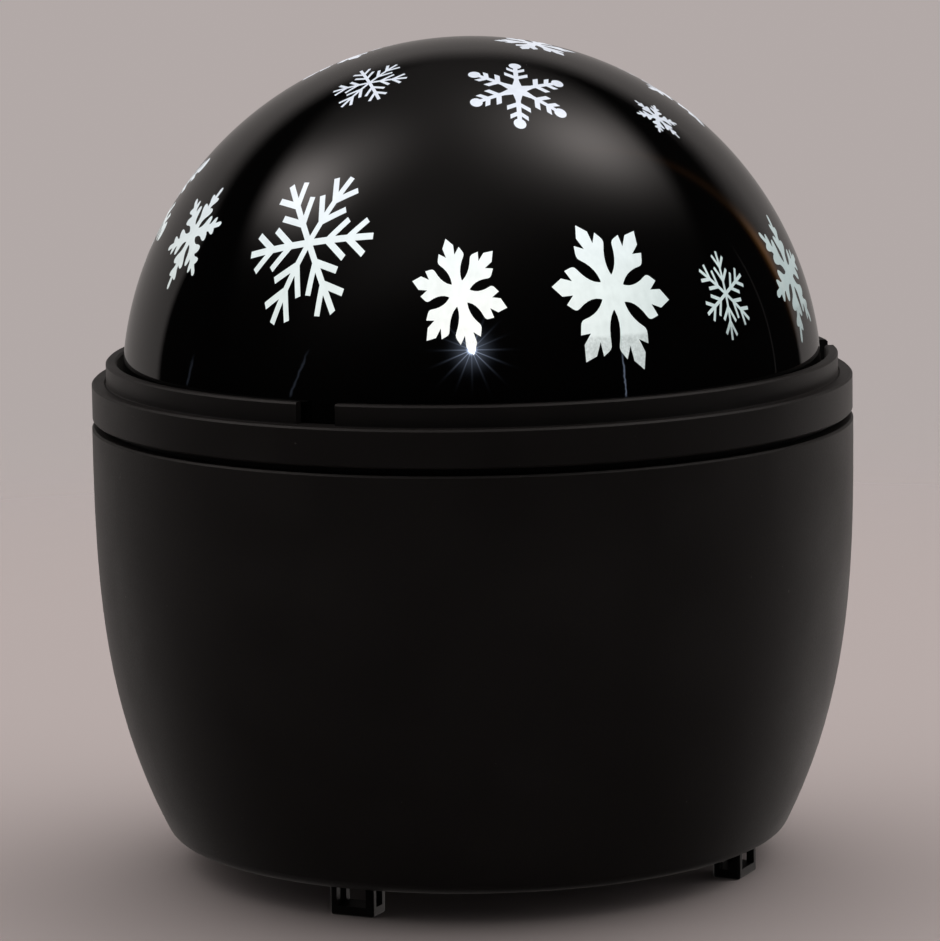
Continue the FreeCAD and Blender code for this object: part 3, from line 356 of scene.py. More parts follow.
SCRATCH_WANDER = math.radians(0.25)
SCRATCH_FOOT_BLUR = 0.4
SCRATCH_TOP_BLUR = 1.5


def scratch(n, point, azimuth, lean, low, high, width, leak):
    """Light let through by a hairline scratch in the print, leaning off the meridian."""
    parts = n.add("ShaderNodeSeparateXYZ", {"Vector": point})
    turn = n.math("ARCTAN2", parts.outputs["X"], n.math("MULTIPLY", parts.outputs["Y"], -1.0))
    height = n.math("DIVIDE", n.math("SUBTRACT", parts.outputs["Z"], DOME_Z), DOME_R)
    rise = n.math("ARCSINE", height, clamp=True)
    wander = n.ramp(n.noise(point, 700.0, 2.0), 0.2, 0.8, -SCRATCH_WANDER, SCRATCH_WANDER)
    off = n.math("SUBTRACT", turn, n.math("MULTIPLY", rise, lean))
    off = n.math("ADD", n.math("SUBTRACT", off, math.radians(azimuth)), wander)
    line = bell(n, off, math.radians(width))
    foot = n.step(rise, math.radians(low - SCRATCH_FOOT_BLUR), math.radians(low + SCRATCH_FOOT_BLUR))
    top = n.step(rise, math.radians(high + SCRATCH_TOP_BLUR), math.radians(high - SCRATCH_TOP_BLUR))
    line = n.math("MULTIPLY", n.math("MULTIPLY", line, foot), top)
    return n.math("MULTIPLY", line, leak)


def dome_black(name, led_at):
    """High-gloss black print: near-mirror face with hairline scratches, faint specks and the LED's glare."""
    material, n = new_material(name)
    point = n.object_point()
    scratch_at = n.vector_math("MULTIPLY", point, (2400.0, 160.0, 90.0)).outputs[0]
    warp = n.noise(point, 25.0, 2.0)
    bend = n.vector_math("ADD", scratch_at, n.vector_math("SCALE", warp).outputs[0]).outputs[0]
    lines = n.noise(bend, 1.0, 1.0)
    scratches = n.step(lines, 0.74, 0.8)
    specks = n.noise(point, 1500.0, 1.0)
    dust = n.step(specks, 0.83, 0.87)
    haze = n.noise(point, 35.0, 3.0, 0.6)
    rough = n.ramp(haze, 0.3, 0.7, 0.02, 0.045)
    rough = n.math("ADD", rough, n.math("MULTIPLY", scratches, 0.1))
    rough = n.math("ADD", rough, n.math("MULTIPLY", dust, 0.3), clamp=True)
    base = n.mix(dust, (0.0012, 0.0011, 0.0011, 1), (0.03, 0.028, 0.026, 1))
    waves = n.noise(point, 60.0, 1.0)
    normal = n.bump(waves, 0.02, 0.1 * MM)
    glare, _ = led_glare(n, point, led_at)
    for azimuth, lean, low, high, width, leak in PRINT_SCRATCHES:
        glare = n.math("ADD", glare, scratch(n, point, azimuth, lean, low, high, width, leak))
    shine = {"Emission_Color": (0.62, 0.74, 1.0, 1), "Emission_Strength": glare}
    principled(n, Base_Color=base, Roughness=rough, Normal=normal, Specular_IOR_Level=0.5, **shine)
    return material


WINDOW_CLEARNESS = 0.06
LOW_TINT = (0.83, 0.91, 0.895, 1)
HIGH_TINT = (0.93, 0.98, 1.09, 1)
SIDE_TINT = (0.7, 0.85, 0.85, 1)
LED_TINT = (1.0, 0.985, 0.95, 1)
LED_LOBE = 0.28


def window_glow(name, led_at):
    """Window lit from inside: cool white, whiter in front of the LED, dimmer sideways, speckled low down."""
    material, n = new_material(name)
    point = n.object_point()
    place = n.add("ShaderNodeSeparateXYZ", {"Vector": point})
    height = place.outputs["Z"]
    glare, far = led_glare(n, point, led_at)
    up = n.step(height, DOME_Z + 0.35 * DOME_R, DOME_Z + 0.85 * DOME_R)
    tint = n.mix(up, LOW_TINT, HIGH_TINT)
    side = n.ramp(place.outputs["X"], 0.45 * DOME_R, 0.8 * DOME_R, 0.0, 1.0)
    tint = n.mix(n.math("MULTIPLY", side, n.math("SUBTRACT", 1.0, up)), tint, SIDE_TINT)
    tint = n.mix(n.math("MULTIPLY", bell(n, far, LED_LOBE), 0.8), tint, LED_TINT)
    mottle = n.noise(point, 420.0, 3.0, 0.6)
    speckle = n.noise(point, 2200.0, 2.0, 0.6)
    streaks = n.noise(n.vector_math("MULTIPLY", point, (900.0, 900.0, 120.0)).outputs[0], 1.0, 2.0)
    low_band = n.step(height, DOME_Z + 0.265 * DOME_R, DOME_Z + 0.25 * DOME_R)
    dim = n.math("SUBTRACT", 1.0, n.math("MULTIPLY", low_band, n.ramp(speckle, 0.3, 0.7, 0.34, 0.1)))
    grain = n.ramp(mottle, 0.3, 0.7, 0.95, 1.04)
    grain = n.math("MULTIPLY", grain, n.ramp(streaks, 0.3, 0.7, 0.97, 1.03))
    sideways = n.ramp(place.outputs["X"], 0.35 * DOME_R, 0.95 * DOME_R, 1.0, 0.74)
    facing = n.add("ShaderNodeLayerWeight", {"Blend": 0.5}).outputs["Facing"]
    sideways = n.math("MULTIPLY", sideways, n.ramp(facing, 0.1, 0.8, 1.0, 0.68))
    lower = n.ramp(height, DOME_Z + 0.24 * DOME_R, DOME_Z + 0.5 * DOME_R, 0.88, 1.03)
    strength = n.math("MULTIPLY", n.math("MULTIPLY", grain, dim), n.math("MULTIPLY", sideways, lower))
    strength = n.math("ADD", strength, n.math("MULTIPLY", bell(n, far, LED_LOBE), 0.15))
    strength = n.math("ADD", strength, glare)
    coat = n.add("ShaderNodeBsdfPrincipled")
    n.feed(coat.inputs["Base Color"], (0.02, 0.022, 0.022, 1))
    n.feed(coat.inputs["Roughness"], n.ramp(mottle, 0.3, 0.7, 0.04, 0.1))
    n.feed(coat.inputs["Emission Color"], tint)
    n.feed(coat.inputs["Emission Strength"], strength)
    clear = n.add("ShaderNodeBsdfTransparent")
    partly_clear(n, coat, clear, WINDOW_CLEARNESS)
    return material


def clear_shell(name):
    """Clear moulded dome under the print: glossy, slightly smoky, see-through."""
    material, n = new_material(name)
    point = n.object_point()
    cloud = n.noise(point, 90.0, 3.0)
    rough = n.ramp(cloud, 0.3, 0.7, 0.03, 0.08)
    coat = n.add("ShaderNodeBsdfPrincipled", {"Base Color": (0.02, 0.02, 0.02, 1), "Roughness": rough})
    clear = n.add("ShaderNodeBsdfTransparent", {"Color": (0.92, 0.94, 0.95, 1)})
    partly_clear(n, coat, clear, n.ramp(cloud, 0.3, 0.7, 0.82, 0.88))
    return material


# ---------------------------------------------------------------- snowflake windows
def bar(start, turn, length, half_width, taper=1.0):
    """A straight bar with square ends; taper is the far end's share of the width."""
    along = Vector((math.cos(turn), math.sin(turn)))
    across = Vector((-along.y, along.x))
    far = Vector(start) + along * length
    near = Vector(start)
    return [near + across * half_width, near - across * half_width,
            far - across * half_width * taper, far + across * half_width * taper]


def disc(centre, radius, count=20):
    """Points round a circle."""
    steps = [2.0 * math.pi * k / count for k in range(count)]
    return [Vector((centre[0] + radius * math.cos(a), centre[1] + radius * math.sin(a))) for a in steps]


def twigs(at, spread, length, half_width):
    """A pair of square-ended side branches leaving the arm at one point."""
    return [bar((at, 0.0), side * math.radians(spread), length, half_width) for side in (-1.0, 1.0)]


def slanted_twigs(at, tip_at, reach, half_width):
    """A pair of side branches with their ends cut along the arm."""
    left = [Vector((at - half_width, 0.0)), Vector((at + half_width, 0.0)),
            Vector((tip_at + half_width, reach)), Vector((tip_at - half_width, reach))]
    right = [Vector((p.x, -p.y)) for p in reversed(left)]
    return [left, right]


def curve(start, pull, end, count):
    """Points of a quadratic curve, without its end."""
    points = []
    for k in range(count):
        t = k / count
        from_start = Vector(start) * (1.0 - t) ** 2
        from_pull = Vector(pull) * 2.0 * t * (1.0 - t)
        from_end = Vector(end) * t ** 2
        points.append(from_start + from_pull + from_end)
    return points


def mirrored(half):
    """A whole arm from one side of its outline, with its tip at (1, 0)."""
    other = [Vector((p.x, -p.y)) for p in half]
    return [[Vector((0.0, 0.0))] + other + [Vector((1.0, 0.0))] + half[::-1]]


def straight_arm(half_width):
    """A thin bar with two pairs of side branches."""
    arm = [bar((0.0, 0.0), 0.0, 1.0, half_width)]
    return arm + twigs(0.295, 40.0, 0.385, half_width) + twigs(0.61, 39.0, 0.355, half_width)


def leaf_arm():
    """A waisted leaf with two blunt lobes and a spearhead."""
    half = curve((0.15, 0.115), (0.36, 0.06), (0.575, 0.25), 6)
    half += curve((0.575, 0.25), (0.62, 0.29), (0.68, 0.26), 3)
    half += [Vector((0.68, 0.26)), Vector((0.775, 0.215)), Vector((0.665, 0.09)), Vector((0.84, 0.115))]
    return mirrored(half)


def ball_arm():
    """A tapered bar with a ball at its tip and two pairs of slanted branches."""
    shapes = [bar((0.0, 0.0), 0.0, 0.85, 0.048, 0.85), disc((0.885, 0.0), 0.115)]
    shapes.append(bar((0.0, 0.0), 0.0, 0.3, 0.12, 0.4))
    return shapes + slanted_twigs(0.4, 0.53, 0.215, 0.055) + slanted_twigs(0.63, 0.745, 0.165, 0.052)


def fern_arm():
    """A waisted stem with two pairs of round-tipped leaflets and a finger at its end."""
    half = curve((0.15, 0.1), (0.3, 0.04), (0.43, 0.19), 5)
    half += curve((0.43, 0.19), (0.56, 0.3), (0.585, 0.19), 4)
    half += curve((0.585, 0.19), (0.585, 0.12), (0.555, 0.075), 2)
    half += curve((0.555, 0.075), (0.62, 0.06), (0.68, 0.13), 3)
    half += curve((0.68, 0.13), (0.8, 0.22), (0.8, 0.12), 4)
    half += [Vector((0.8, 0.12)), Vector((0.785, 0.05)), Vector((0.94, 0.052)), Vector((0.985, 0.03))]
    return mirrored(half)


ARM_STYLES = {
    "bars": (straight_arm(0.043), 0.0),
    "fine": (straight_arm(0.04), 0.0),
    "leaf": (leaf_arm(), 0.205),
    "ball": (ball_arm(), 0.15),
    "fern": (fern_arm(), 0.18),
}

# style, azimuth from the front towards +X, elevation, arm length (mm), arm angle
FLAKES = [
    ("bars", -30.3, 30.3, 10.3, 9.2),
    ("leaf", -1.9, 22.5, 7.2, 47.0),
    ("leaf", 24.2, 21.8, 9.5, 52.5),
    ("fine", 47.5, 19.6, 5.3, 22.0),
    ("ball", 16.9, 62.1, 8.3, 15.3),
    ("fine", -38.8, 64.3, 5.9, 23.2),
    ("leaf", 75.0, 78.7, 6.4, -2.0),
    ("fern", 58.9, 52.2, 4.0, 37.0),
    ("fern", 95.9, 54.3, 9.1, 30.0),
    ("fern", 71.6, 20.2, 8.2, 12.4),
    ("fern", -62.1, 29.6, 7.1, 18.6),
    ("ball", -92.1, 32.4, 11.4, 45.0),
    ("leaf", -107.0, 68.5, 9.1, 30.0),
    ("bars", 101.0, 25.5, 9.0, 20.0),
    ("leaf", 131.0, 24.0, 8.2, 35.0),
    ("fine", 157.0, 20.5, 5.6, 5.0),
    ("bars", -176.0, 27.5, 9.8, 12.0),
    ("leaf", -149.0, 22.0, 7.4, 50.0),
    ("fern", -121.0, 25.5, 8.6, 25.0),
    ("ball", 143.0, 56.0, 8.8, 8.0),
    ("fine", 178.0, 62.0, 6.2, 40.0),
    ("fern", -150.0, 51.0, 6.4, 14.0),
]


def stretched(north, elevation):
    """Height of a point on its flake after the flat film was drawn into a dome, more so lower down."""
    at_centre = 1.0 + 0.4 * (1.0 - elevation / 90.0)
    return north * (at_centre - 6.5 * north)


class FlakePlane:
    """Lays a flat flake on the dome and returns points in the dome's flattened plan."""

    def __init__(self, azimuth, elevation, arm_mm, turn):
        self.azimuth = math.radians(azimuth)
        self.elevation = math.radians(elevation)
        self.arm = arm_mm * MM
        self.turn = math.radians(turn)

    def plan_point(self, point, arm_number):
        angle = self.turn + arm_number * math.pi / 3.0
        x = self.arm * (point[0] * math.cos(angle) - point[1] * math.sin(angle))
        y = self.arm * (point[0] * math.sin(angle) + point[1] * math.cos(angle))
        y = stretched(y, math.degrees(self.elevation))
        az, el = self.azimuth, self.elevation
        out = Vector((math.sin(az) * math.cos(el), -math.cos(az) * math.cos(el), math.sin(el)))
        east = Vector((math.cos(az), math.sin(az), 0.0))
        north = out.cross(east)
        far = math.hypot(x, y)
        if far < TINY:
            direction = out
        else:
            arc = far / DOME_R
            direction = out * math.cos(arc) + (east * x + north * y) * (math.sin(arc) / far)
        reach = DOME_R * math.acos(max(-1.0, min(1.0, direction.z)))
        flat = Vector((direction.x, direction.y))
        return flat.normalized() * reach if flat.length > TINY else Vector((0.0, 0.0))


def with_extra_points(outline, longest):
    """Splits long straight sides so that they can follow the dome."""
    points = []
    for here, following in zip(outline, outline[1:] + outline[:1]):
        parts = max(1, math.ceil((following - here).length / longest))
        points += [here.lerp(following, k / parts) for k in range(parts)]
    return points


PLAN_EQUATOR = DOME_R * math.pi / 2.0
PLAN_EDGE = PLAN_EQUATOR + SKIRT
PLAN_SPACING = 1.7 * MM
RIM_COUNT = 240
LONGEST_SIDE = 0.9 * MM


def dome_direction(plan):
    """Outward direction of a place in the flattened plan; level beyond the equator."""
    reach = plan.length
    flat = plan.normalized() if reach > TINY else Vector((0.0, 0.0))
    arc = min(reach / DOME_R, math.pi / 2.0)
    return Vector((flat.x * math.sin(arc), flat.y * math.sin(arc), math.cos(arc)))


def dome_point(plan, depth):
    """Point of the dome below its outer face; beyond the equator the skirt goes straight down."""
    drop = max(0.0, plan.length - PLAN_EQUATOR)
    return dome_direction(plan) * (DOME_R - depth) + Vector((0.0, 0.0, DOME_Z - drop))


def plan_mesh():
    """Triangles of the whole dome in plan, each marked with the flake that it belongs to, or -1."""
    points = []
    edges = []
    faces = []
    owner = []
    for k in range(RIM_COUNT):
        turn = 2.0 * math.pi * k / RIM_COUNT
        points.append(Vector((PLAN_EDGE * math.cos(turn), PLAN_EDGE * math.sin(turn))))
        edges.append((k, (k + 1) % RIM_COUNT))
    equator_start = len(points)
    for k in range(RIM_COUNT):
        turn = 2.0 * math.pi * (k + 0.5) / RIM_COUNT
        points.append(Vector((PLAN_EQUATOR * math.cos(turn), PLAN_EQUATOR * math.sin(turn))))
        edges.append((equator_start + k, equator_start + (k + 1) % RIM_COUNT))
    for number, flake in enumerate(FLAKES):
        style, azimuth, elevation, arm, turn = flake
        shapes, hub = ARM_STYLES[style]
        plane = FlakePlane(azimuth, elevation, arm, turn)
        outlines = [(shape, k) for k in range(6) for shape in shapes]
        if hub > 0.0:
            outlines.append((disc((0.0, 0.0), hub, 30), 0))
        for outline, k in outlines:
            spread = with_extra_points(outline, LONGEST_SIDE / plane.arm)
            first = len(points)
            points += [plane.plan_point(p, k) for p in spread]
            faces.append(list(range(first, first + len(spread))))
            owner.append(number)
    golden = math.pi * (3.0 - math.sqrt(5.0))
    count = int(math.pi * (PLAN_EQUATOR - PLAN_SPACING) ** 2 / PLAN_SPACING ** 2)
    for k in range(count):
        reach = (PLAN_EQUATOR - 0.6 * PLAN_SPACING) * math.sqrt((k + 0.5) / count)
        points.append(Vector((reach * math.cos(k * golden), reach * math.sin(k * golden))))
    scale = 1000.0    # the triangulation works in millimetres
    scaled = [p * scale for p in points]
    made, _, triangles, _, _, sources = delaunay_2d_cdt(scaled, edges, faces, 0, 1e-5)
    made = [Vector(p) / scale for p in made]
    marks = [owner[source[0]] if source else -1 for source in sources]
    return made, triangles, marks


def layer_mesh(name, plan, triangles, outer, inner):
    """A closed sheet over the given plan triangles, between two depths below the dome's outer face."""
    used = sorted({v for triangle in triangles for v in triangle})
    place = {v: k for k, v in enumerate(used)}
    count = len(used)
    vertices = [dome_point(plan[v], outer) for v in used] + [dome_point(plan[v], inner) for v in used]
    faces = []
    normals = []
    directions = [dome_direction(plan[v]) for v in used]
    for triangle in triangles:
        a, b, c = (place[v] for v in triangle)
        faces.append((a, b, c))
        normals += [directions[a], directions[b], directions[c]]
        faces.append((c + count, b + count, a + count))
        normals += [-directions[c], -directions[b], -directions[a]]
    half_edges = {}
    for triangle in triangles:
        for a, b in zip(triangle, triangle[1:] + triangle[:1]):
            half_edges[(place[a], place[b])] = True
    for a, b in half_edges:
        if (b, a) not in half_edges:
            faces.append((b, a, a + count, b + count))
            side = (vertices[a] - vertices[b]).cross(vertices[a + count] - vertices[a]).normalized()
            normals += [side] * 4
    mesh = bpy.data.meshes.new(name)
    mesh.from_pydata(vertices, [], faces)
    mesh.polygons.foreach_set("use_smooth", [True] * len(mesh.polygons))
    mesh.normals_split_custom_set(normals)
    return mesh


def add_piece(name, mesh, material, body):
    """A new visible piece that rides on a body."""
    piece = bpy.data.objects.new(name, mesh)
    bpy.context.scene.collection.objects.link(piece)
    mesh.materials.clear()
    mesh.materials.append(material)
    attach(piece, body)
    return piece


def build_dome():
    """The print with its windows, and the clear shell under it, in place of the plain CAD dome."""
    led_at = Vector((0.0, 0.0, led_low.z + CHIP_RISE))
    black = dome_black("dome_black", led_at)
    glow = window_glow("window_glow", led_at)
    clear = clear_shell("clear_shell")
    plan, triangles, marks = plan_mesh()
    triangles = [tuple(t) for t in triangles]
    edge = PLAN_EDGE * 1.0001
    inside = [max(plan[v].length for v in t) < edge for t in triangles]
    printed = [t for t, mark, keep in zip(triangles, marks, inside) if mark < 0 and keep]
    mask = add_piece("dome_print_layer", layer_mesh("dome_print_layer", plan, printed, 0.0, PRINT_DEPTH),
                     black, "dome")
    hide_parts("projection_dome")
    for number in range(len(FLAKES)):
        mine = [t for t, mark in zip(triangles, marks) if mark == number]
        name = "snowflake_window_%02d" % (number + 1)
        add_piece(name, layer_mesh(name, plan, mine, 0.0, PRINT_DEPTH), glow, "dome")
    shell_mesh = dome_shell_mesh("dome_clear_shell", PRINT_DEPTH, DOME_WALL)
    add_piece("dome_clear_shell", shell_mesh, clear, "dome")


def lathe_mesh(name, profile, segments):
    """Turns a closed (radius, height) outline about the Z axis."""
    vertices = []
    faces = []
    count = len(profile)
    for k in range(segments):
        turn = 2.0 * math.pi * k / segments
        vertices += [(r * math.cos(turn), r * math.sin(turn), z) for r, z in profile]
    for k in range(segments):
        here = k * count
        following = ((k + 1) % segments) * count
        for j in range(count):
            i = (j + 1) % count
            faces.append((here + j, here + i, following + i, following + j))
    mesh = bpy.data.meshes.new(name)
    mesh.from_pydata(vertices, [], faces)
    bm = bmesh.new()
    bm.from_mesh(mesh)
    bmesh.ops.remove_doubles(bm, verts=bm.verts, dist=1e-7)
    bmesh.ops.dissolve_degenerate(bm, edges=bm.edges, dist=1e-8)
    bmesh.ops.recalc_face_normals(bm, faces=bm.faces)
    bm.to_mesh(mesh)
    bm.free()
    mesh.polygons.foreach_set("use_smooth", [True] * len(mesh.polygons))
    return mesh


SHELL_STEPS = 64
SHELL_SEGMENTS = 192


def dome_shell_mesh(name, outer, inner):
    """The dome's clear wall between two depths below its outer face."""
    profile = []
    for depth, order in ((outer, range(SHELL_STEPS + 1)), (inner, range(SHELL_STEPS, -1, -1))):
        radius = DOME_R - depth
        angles = [math.pi / 2 * k / SHELL_STEPS for k in order]
        arc = [(radius * math.cos(angle), DOME_Z + radius * math.sin(angle)) for angle in angles]
        foot = [(radius, dome_low.z)]
        profile += foot + arc if depth == outer else arc + foot
    return lathe_mesh(name, profile, SHELL_SEGMENTS)


# ---------------------------------------------------------------- finishes of the carried-over parts
def paint_frame():
    """Gives every CAD node its finish."""
    pot = moulded_plastic("pot_black", (0.018, 0.0157, 0.0147), 0.52, 0.3, 0.5, 0.12, 0.7, 0.06, 0.25)
    collar = moulded_plastic("collar_black", (0.0165, 0.0143, 0.0135), 0.5, 0.22, 0.3, 0.12, 0.7, 0.06, 0.5)
    cover = moulded_plastic("cover_black", (0.007, 0.0065, 0.0065), 0.5, 0.3, 0.4, 0.12)
    deck = moulded_plastic("deck_black", (0.012, 0.012, 0.012), 0.45)
    table = moulded_plastic("table_white", (0.55, 0.54, 0.5), 0.38, 0.3, 0.15, 0.05)
    gear = moulded_plastic("gear_acetal", (0.72, 0.7, 0.62), 0.32, 0.3, 0.1, 0.06)
    knob = moulded_plastic("knob_black", (0.02, 0.02, 0.02), 0.4)
    nylon = moulded_plastic("connector_nylon", (0.7, 0.67, 0.56), 0.4, 0.3, 0.1, 0.06)
    sleeve = moulded_plastic("capacitor_sleeve", (0.01, 0.02, 0.06), 0.3, 0.3, 0.1)
    chip = moulded_plastic("chip_epoxy", (0.012, 0.012, 0.013), 0.55, 0.15, 0.4)
    ceramic = moulded_plastic("resistor_ceramic", (0.03, 0.03, 0.035), 0.35, 0.2, 0.2)
    steel = drawn_metal("steel", (0.5, 0.49, 0.47), 0.3)
    nickel = drawn_metal("nickel", (0.62, 0.6, 0.55), 0.22)
    can = drawn_metal("motor_steel", (0.42, 0.42, 0.42), 0.34, (1.0, 1.0, 20.0))
    brass = drawn_metal("gearbox_brass", (0.62, 0.45, 0.2), 0.28)
    board = circuit_board("board_green", (0.01, 0.09, 0.03), (0.7, 0.55, 0.25))
    led_board = circuit_board("board_white", (0.6, 0.6, 0.58), (0.75, 0.62, 0.35))
    cell_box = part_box("battery_cells")
    cells = cell_sleeve("cell_sleeve", cell_box[0].x, cell_box[1].x)
    lens = led_epoxy("led_lens")
    wires = wire_insulation("wire_insulation")
    finishes = {
        "pot_plastic": pot, "collar_plastic": collar, "cover_plastic": cover, "deck_plastic": deck,
        "table_plastic": table, "gear_plastic": gear, "knob_plastic": knob, "connector_nylon": nylon,
        "capacitor_sleeve": sleeve, "chip_epoxy": chip, "resistor_ceramic": ceramic, "steel": steel,
        "nickel": nickel, "motor_steel": can, "gearbox_brass": brass, "board_laminate": board,
        "led_board_laminate": led_board, "cell_label": cells, "led_lens": lens, "wire_insulation": wires,
    }
    for part in frame["record"]["subparts"]:
        finish = finishes.get(part["material_slot"])
        if finish:
            for entry in frame["nodes"][part["node"]].material_slots:
                entry.material = finish


# ---------------------------------------------------------------- stage, light and camera
BACKDROP = (0.447, 0.398, 0.388)
# centre and spread on the map of the sky, where the zenith is (0, 0) and the horizon 0.7 away, and peak
SKY_LAMPS = [
    ((-0.34, 0.08), (0.05, 0.085), 2.1),
    ((-0.26, 0.07), (0.085, 0.09), 0.8),
    ((0.24, 0.13), (0.07, 0.085), 1.5),
    ((0.17, 0.1), (0.1, 0.12), 0.75),
    ((-0.02, 0.05), (0.22, 0.26), 0.17),
    ((-0.2, -0.27), (0.16, 0.11), 0.1),
]


def ray_directions(n):
    """The x, y and z of the direction that a ray travels in."""
    incoming = n.add("ShaderNodeNewGeometry").outputs["Incoming"]
    toward = n.add("ShaderNodeVectorMath", operation="SCALE")
    n.feed(toward.inputs[0], incoming)
    toward.inputs["Scale"].default_value = -1.0
    parts = n.add("ShaderNodeSeparateXYZ", {"Vector": toward.outputs[0]})
    return parts.outputs["X"], parts.outputs["Y"], parts.outputs["Z"]


def soft_lamp(n, u, w, centre, spread, peak):
    """A lamp with a bell-shaped edge on the map of the sky."""
    du = n.math("DIVIDE", n.math("SUBTRACT", u, centre[0]), spread[0])
    dw = n.math("DIVIDE", n.math("SUBTRACT", w, centre[1]), spread[1])
    square = n.math("ADD", n.math("MULTIPLY", du, du), n.math("MULTIPLY", dw, dw))
    return n.math("MULTIPLY", n.math("EXPONENT", n.math("MULTIPLY", square, -0.5)), peak)


def on_wall(n, x, y, z):
    """Where a direction meets an upright wall behind the lamp: across, up, and from its leaning right end."""
    depth = n.math("MAXIMUM", y, 0.001)
    across = n.math("DIVIDE", x, depth)
    rise = n.math("DIVIDE", z, depth)
    right_end = n.math("SUBTRACT", across, n.math("MULTIPLY", rise, 0.3))
    return across, rise, right_end


def lit_wall(n, x, y, z):
    """The lit backdrop behind the lamp, bounded left, right and above, dimmer close to its foot."""
    across, rise, right_end = on_wall(n, x, y, z)
    wall = n.step(y, 0.0, 0.03)
    corner = n.math("ADD", across, n.math("MULTIPLY", rise, 0.8))
    for value, low, high in ((across, -1.6, -1.35), (right_end, 1.02, 0.9), (rise, 0.82, 0.46)):
        wall = n.math("MULTIPLY", wall, n.step(value, low, high))
    wall = n.math("MULTIPLY", wall, n.ramp(corner, 0.9, 1.65, 1.0, 0.1))
    return n.math("MULTIPLY", wall, n.ramp(z, -0.5, -0.12, 0.1, 0.26))


def amber_strip(n, x, y, z):
    """A narrow amber glow along the right end of the lit backdrop."""
    _, rise, right_end = on_wall(n, x, y, z)
    strip = bell(n, n.math("SUBTRACT", right_end, 0.93), 0.08)
    middle = bell(n, n.math("SUBTRACT", rise, 0.33), 0.17)
    strip = n.math("MULTIPLY", strip, n.ramp(middle, 0.0, 1.0, 0.12, 1.0))
    strip = n.math("MULTIPLY", strip, n.step(z, -0.05, 0.05))
    return n.math("MULTIPLY", strip, n.math("MULTIPLY", n.step(y, 0.05, 0.2), 0.42))


def stand_edge(n, x, y, z):
    """The faint upright edge of a lamp stand, far to the right."""
    across, _, _ = on_wall(n, x, y, z)
    edge = bell(n, n.math("SUBTRACT", across, 1.95), 0.02)
    return n.math("MULTIPLY", n.math("MULTIPLY", edge, n.step(z, 0.4, 0.3)), 0.12)


def studio_world():
    """One world in three parts: a plain pale backdrop for the camera, soft light mostly from behind for matt
    faces, and for reflections a lit wall with soft lamps above it and a dark room in front."""
    world = bpy.data.worlds.new("studio")
    bpy.context.scene.world = world
    world.use_nodes = True
    world.cycles.sampling_method = "NONE"
    n = Nodes(world.node_tree)
    x, y, z = ray_directions(n)
    sky = n.math("SQRT", n.math("MULTIPLY", n.math("ADD", z, 1.0001), 2.0))
    u = n.math("DIVIDE", x, sky)
    w = n.math("DIVIDE", y, sky)
    below = n.math("MULTIPLY", n.step(z, -0.1, -0.2), n.step(z, -0.62, -0.3))
    below = n.math("MULTIPLY", below, n.step(y, 0.1, 0.8))
    paper = n.math("MULTIPLY", below, n.ramp(x, -0.7, 0.7, 0.38, 0.8))
    glow = n.math("ADD", n.math("MAXIMUM", lit_wall(n, x, y, z), paper), 0.004)
    glow = n.math("ADD", glow, stand_edge(n, x, y, z))
    outward = n.math("MULTIPLY", n.math("SUBTRACT", n.math("ABSOLUTE", u), 0.33), 0.8)
    edge = n.step(n.math("ADD", w, outward), 0.29, 0.19)
    for centre, spread, peak in SKY_LAMPS:
        glow = n.math("ADD", glow, n.math("MULTIPLY", edge, soft_lamp(n, u, w, centre, spread, peak)))
    amber = amber_strip(n, x, y, z)
    reflected = n.add("ShaderNodeCombineColor")
    for channel, share, amber_share in (("Red", 1.06, 1.0), ("Green", 0.975, 0.42), ("Blue", 0.94, 0.1)):
        tinted = n.math("ADD", n.math("MULTIPLY", glow, share), n.math("MULTIPLY", amber, amber_share))
        n.feed(reflected.inputs[channel], tinted)
    from_behind = n.ramp(n.step(y, -0.6, 0.6), 0.0, 1.0, 0.12, 1.88)
    from_behind = n.math("MULTIPLY", from_behind, n.ramp(x, -1.0, 1.0, 0.76, 1.24))
    from_behind = n.math("MULTIPLY", from_behind, n.ramp(z, 0.0, 0.9, 0.5, 1.23))
    soft = n.add("ShaderNodeCombineColor")
    for channel, share in (("Red", 1.03), ("Green", 0.99), ("Blue", 0.98)):
        n.feed(soft.inputs[channel], n.math("MULTIPLY", from_behind, share))
    path = n.add("ShaderNodeLightPath")
    colour = n.mix(path.outputs["Is Diffuse Ray"], reflected.outputs[0], soft.outputs[0])
    colour = n.mix(path.outputs["Is Camera Ray"], colour, rgba(BACKDROP))
    light = n.add("ShaderNodeBackground", {"Color": colour})
    light.inputs["Strength"].default_value = 1.0
    out = n.add("ShaderNodeOutputWorld")
    n.tree.links.new(light.outputs[0], out.inputs["Surface"])


# the paper is solid out to FLOOR_SOLID from the lamp and gone by FLOOR_END
FLOOR_SOLID = 0.22
FLOOR_END = 0.5
# paper colour behind the lamp, and a darker copy in front of it as painted shade; each pair spans the paper's
# random tone
PAPER_BACK = ((0.438, 0.391, 0.381, 1), (0.448, 0.4, 0.39, 1))
PAPER_SHADED_FRONT = ((0.41, 0.364, 0.355, 1), (0.42, 0.373, 0.364, 1))


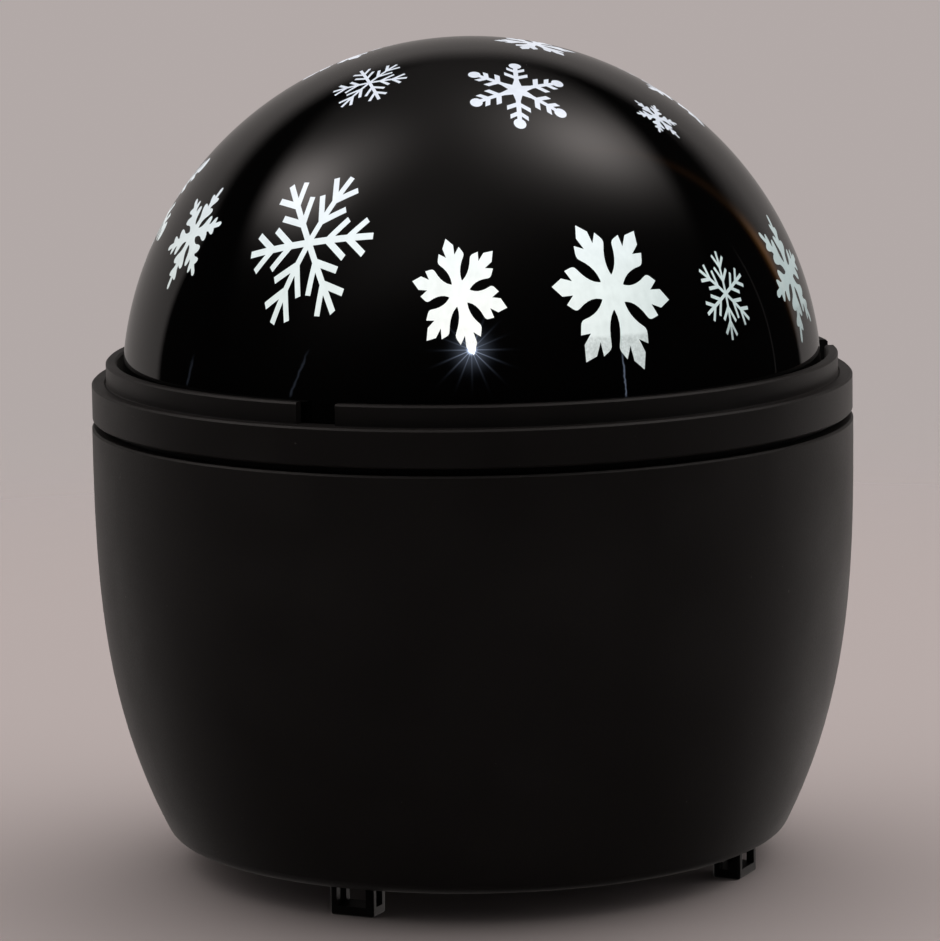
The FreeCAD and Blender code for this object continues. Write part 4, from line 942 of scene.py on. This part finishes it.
def floor():
    """Pale paper under the lamp, darker in front of it as painted shade, that melts into the backdrop all
    round, and is clear from below.
    """
    mesh = bpy.data.meshes.new("floor")
    half = FLOOR_END * 1.05
    mesh.from_pydata([(-half, -half, 0.0), (half, -half, 0.0), (half, half, 0.0), (-half, half, 0.0)],
                     [], [(0, 1, 2, 3)])
    piece = bpy.data.objects.new("floor", mesh)
    bpy.context.scene.collection.objects.link(piece)
    piece.visible_glossy = False
    material, n = new_material("floor_paper")
    point = n.object_point()
    cloud = n.noise(point, 6.0, 2.0)
    reach = n.vector_math("LENGTH", point).outputs["Value"]
    paper = n.add("ShaderNodeBsdfDiffuse")
    depth = n.add("ShaderNodeSeparateXYZ", {"Vector": point}).outputs["Y"]
    # painted shade: the paper turns to the darker front colour from 0.13 m behind the axis to the axis, then
    # partly back beyond 0.01 to 0.06 m in front
    front = n.step(depth, 0.13, 0.0)
    front = n.math("SUBTRACT", front, n.math("MULTIPLY", n.step(depth, -0.01, -0.06), 0.6))
    duller, brighter = (n.mix(front, back, fore) for back, fore in zip(PAPER_BACK, PAPER_SHADED_FRONT))
    n.feed(paper.inputs["Color"], n.mix(cloud, duller, brighter))
    clear = n.add("ShaderNodeBsdfTransparent")
    below = n.add("ShaderNodeNewGeometry").outputs["Backfacing"]
    partly_clear(n, paper, clear, n.math("MAXIMUM", n.step(reach, FLOOR_SOLID, FLOOR_END), below))
    mesh.materials.append(material)


CAMERA_AT = (-0.00055, -0.7773, 0.18636)
LOOK_DOWN = 9.11    # degrees
ROLL = -0.0152    # radians
LENS = 190.1    # millimetres, on a sensor of this width
SENSOR = 36.0


def camera():
    """The long-lens camera in front of the lamp, slightly above it."""
    data = bpy.data.cameras.new("photo_camera")
    data.sensor_fit = "HORIZONTAL"
    data.sensor_width = SENSOR
    data.lens = LENS
    data.clip_start = 0.05
    view = bpy.data.objects.new("photo_camera", data)
    bpy.context.scene.collection.objects.link(view)
    tilt = Euler((math.radians(90.0 - LOOK_DOWN), 0.0, 0.0)).to_matrix()
    roll = Matrix.Rotation(ROLL, 3, "Z")
    view.matrix_world = Matrix.Translation(CAMERA_AT) @ (tilt @ roll).to_4x4()
    bpy.context.scene.camera = view


build_dome()
paint_frame()
studio_world()
floor()
camera()
bpy.context.scene.view_settings.view_transform = "Standard"
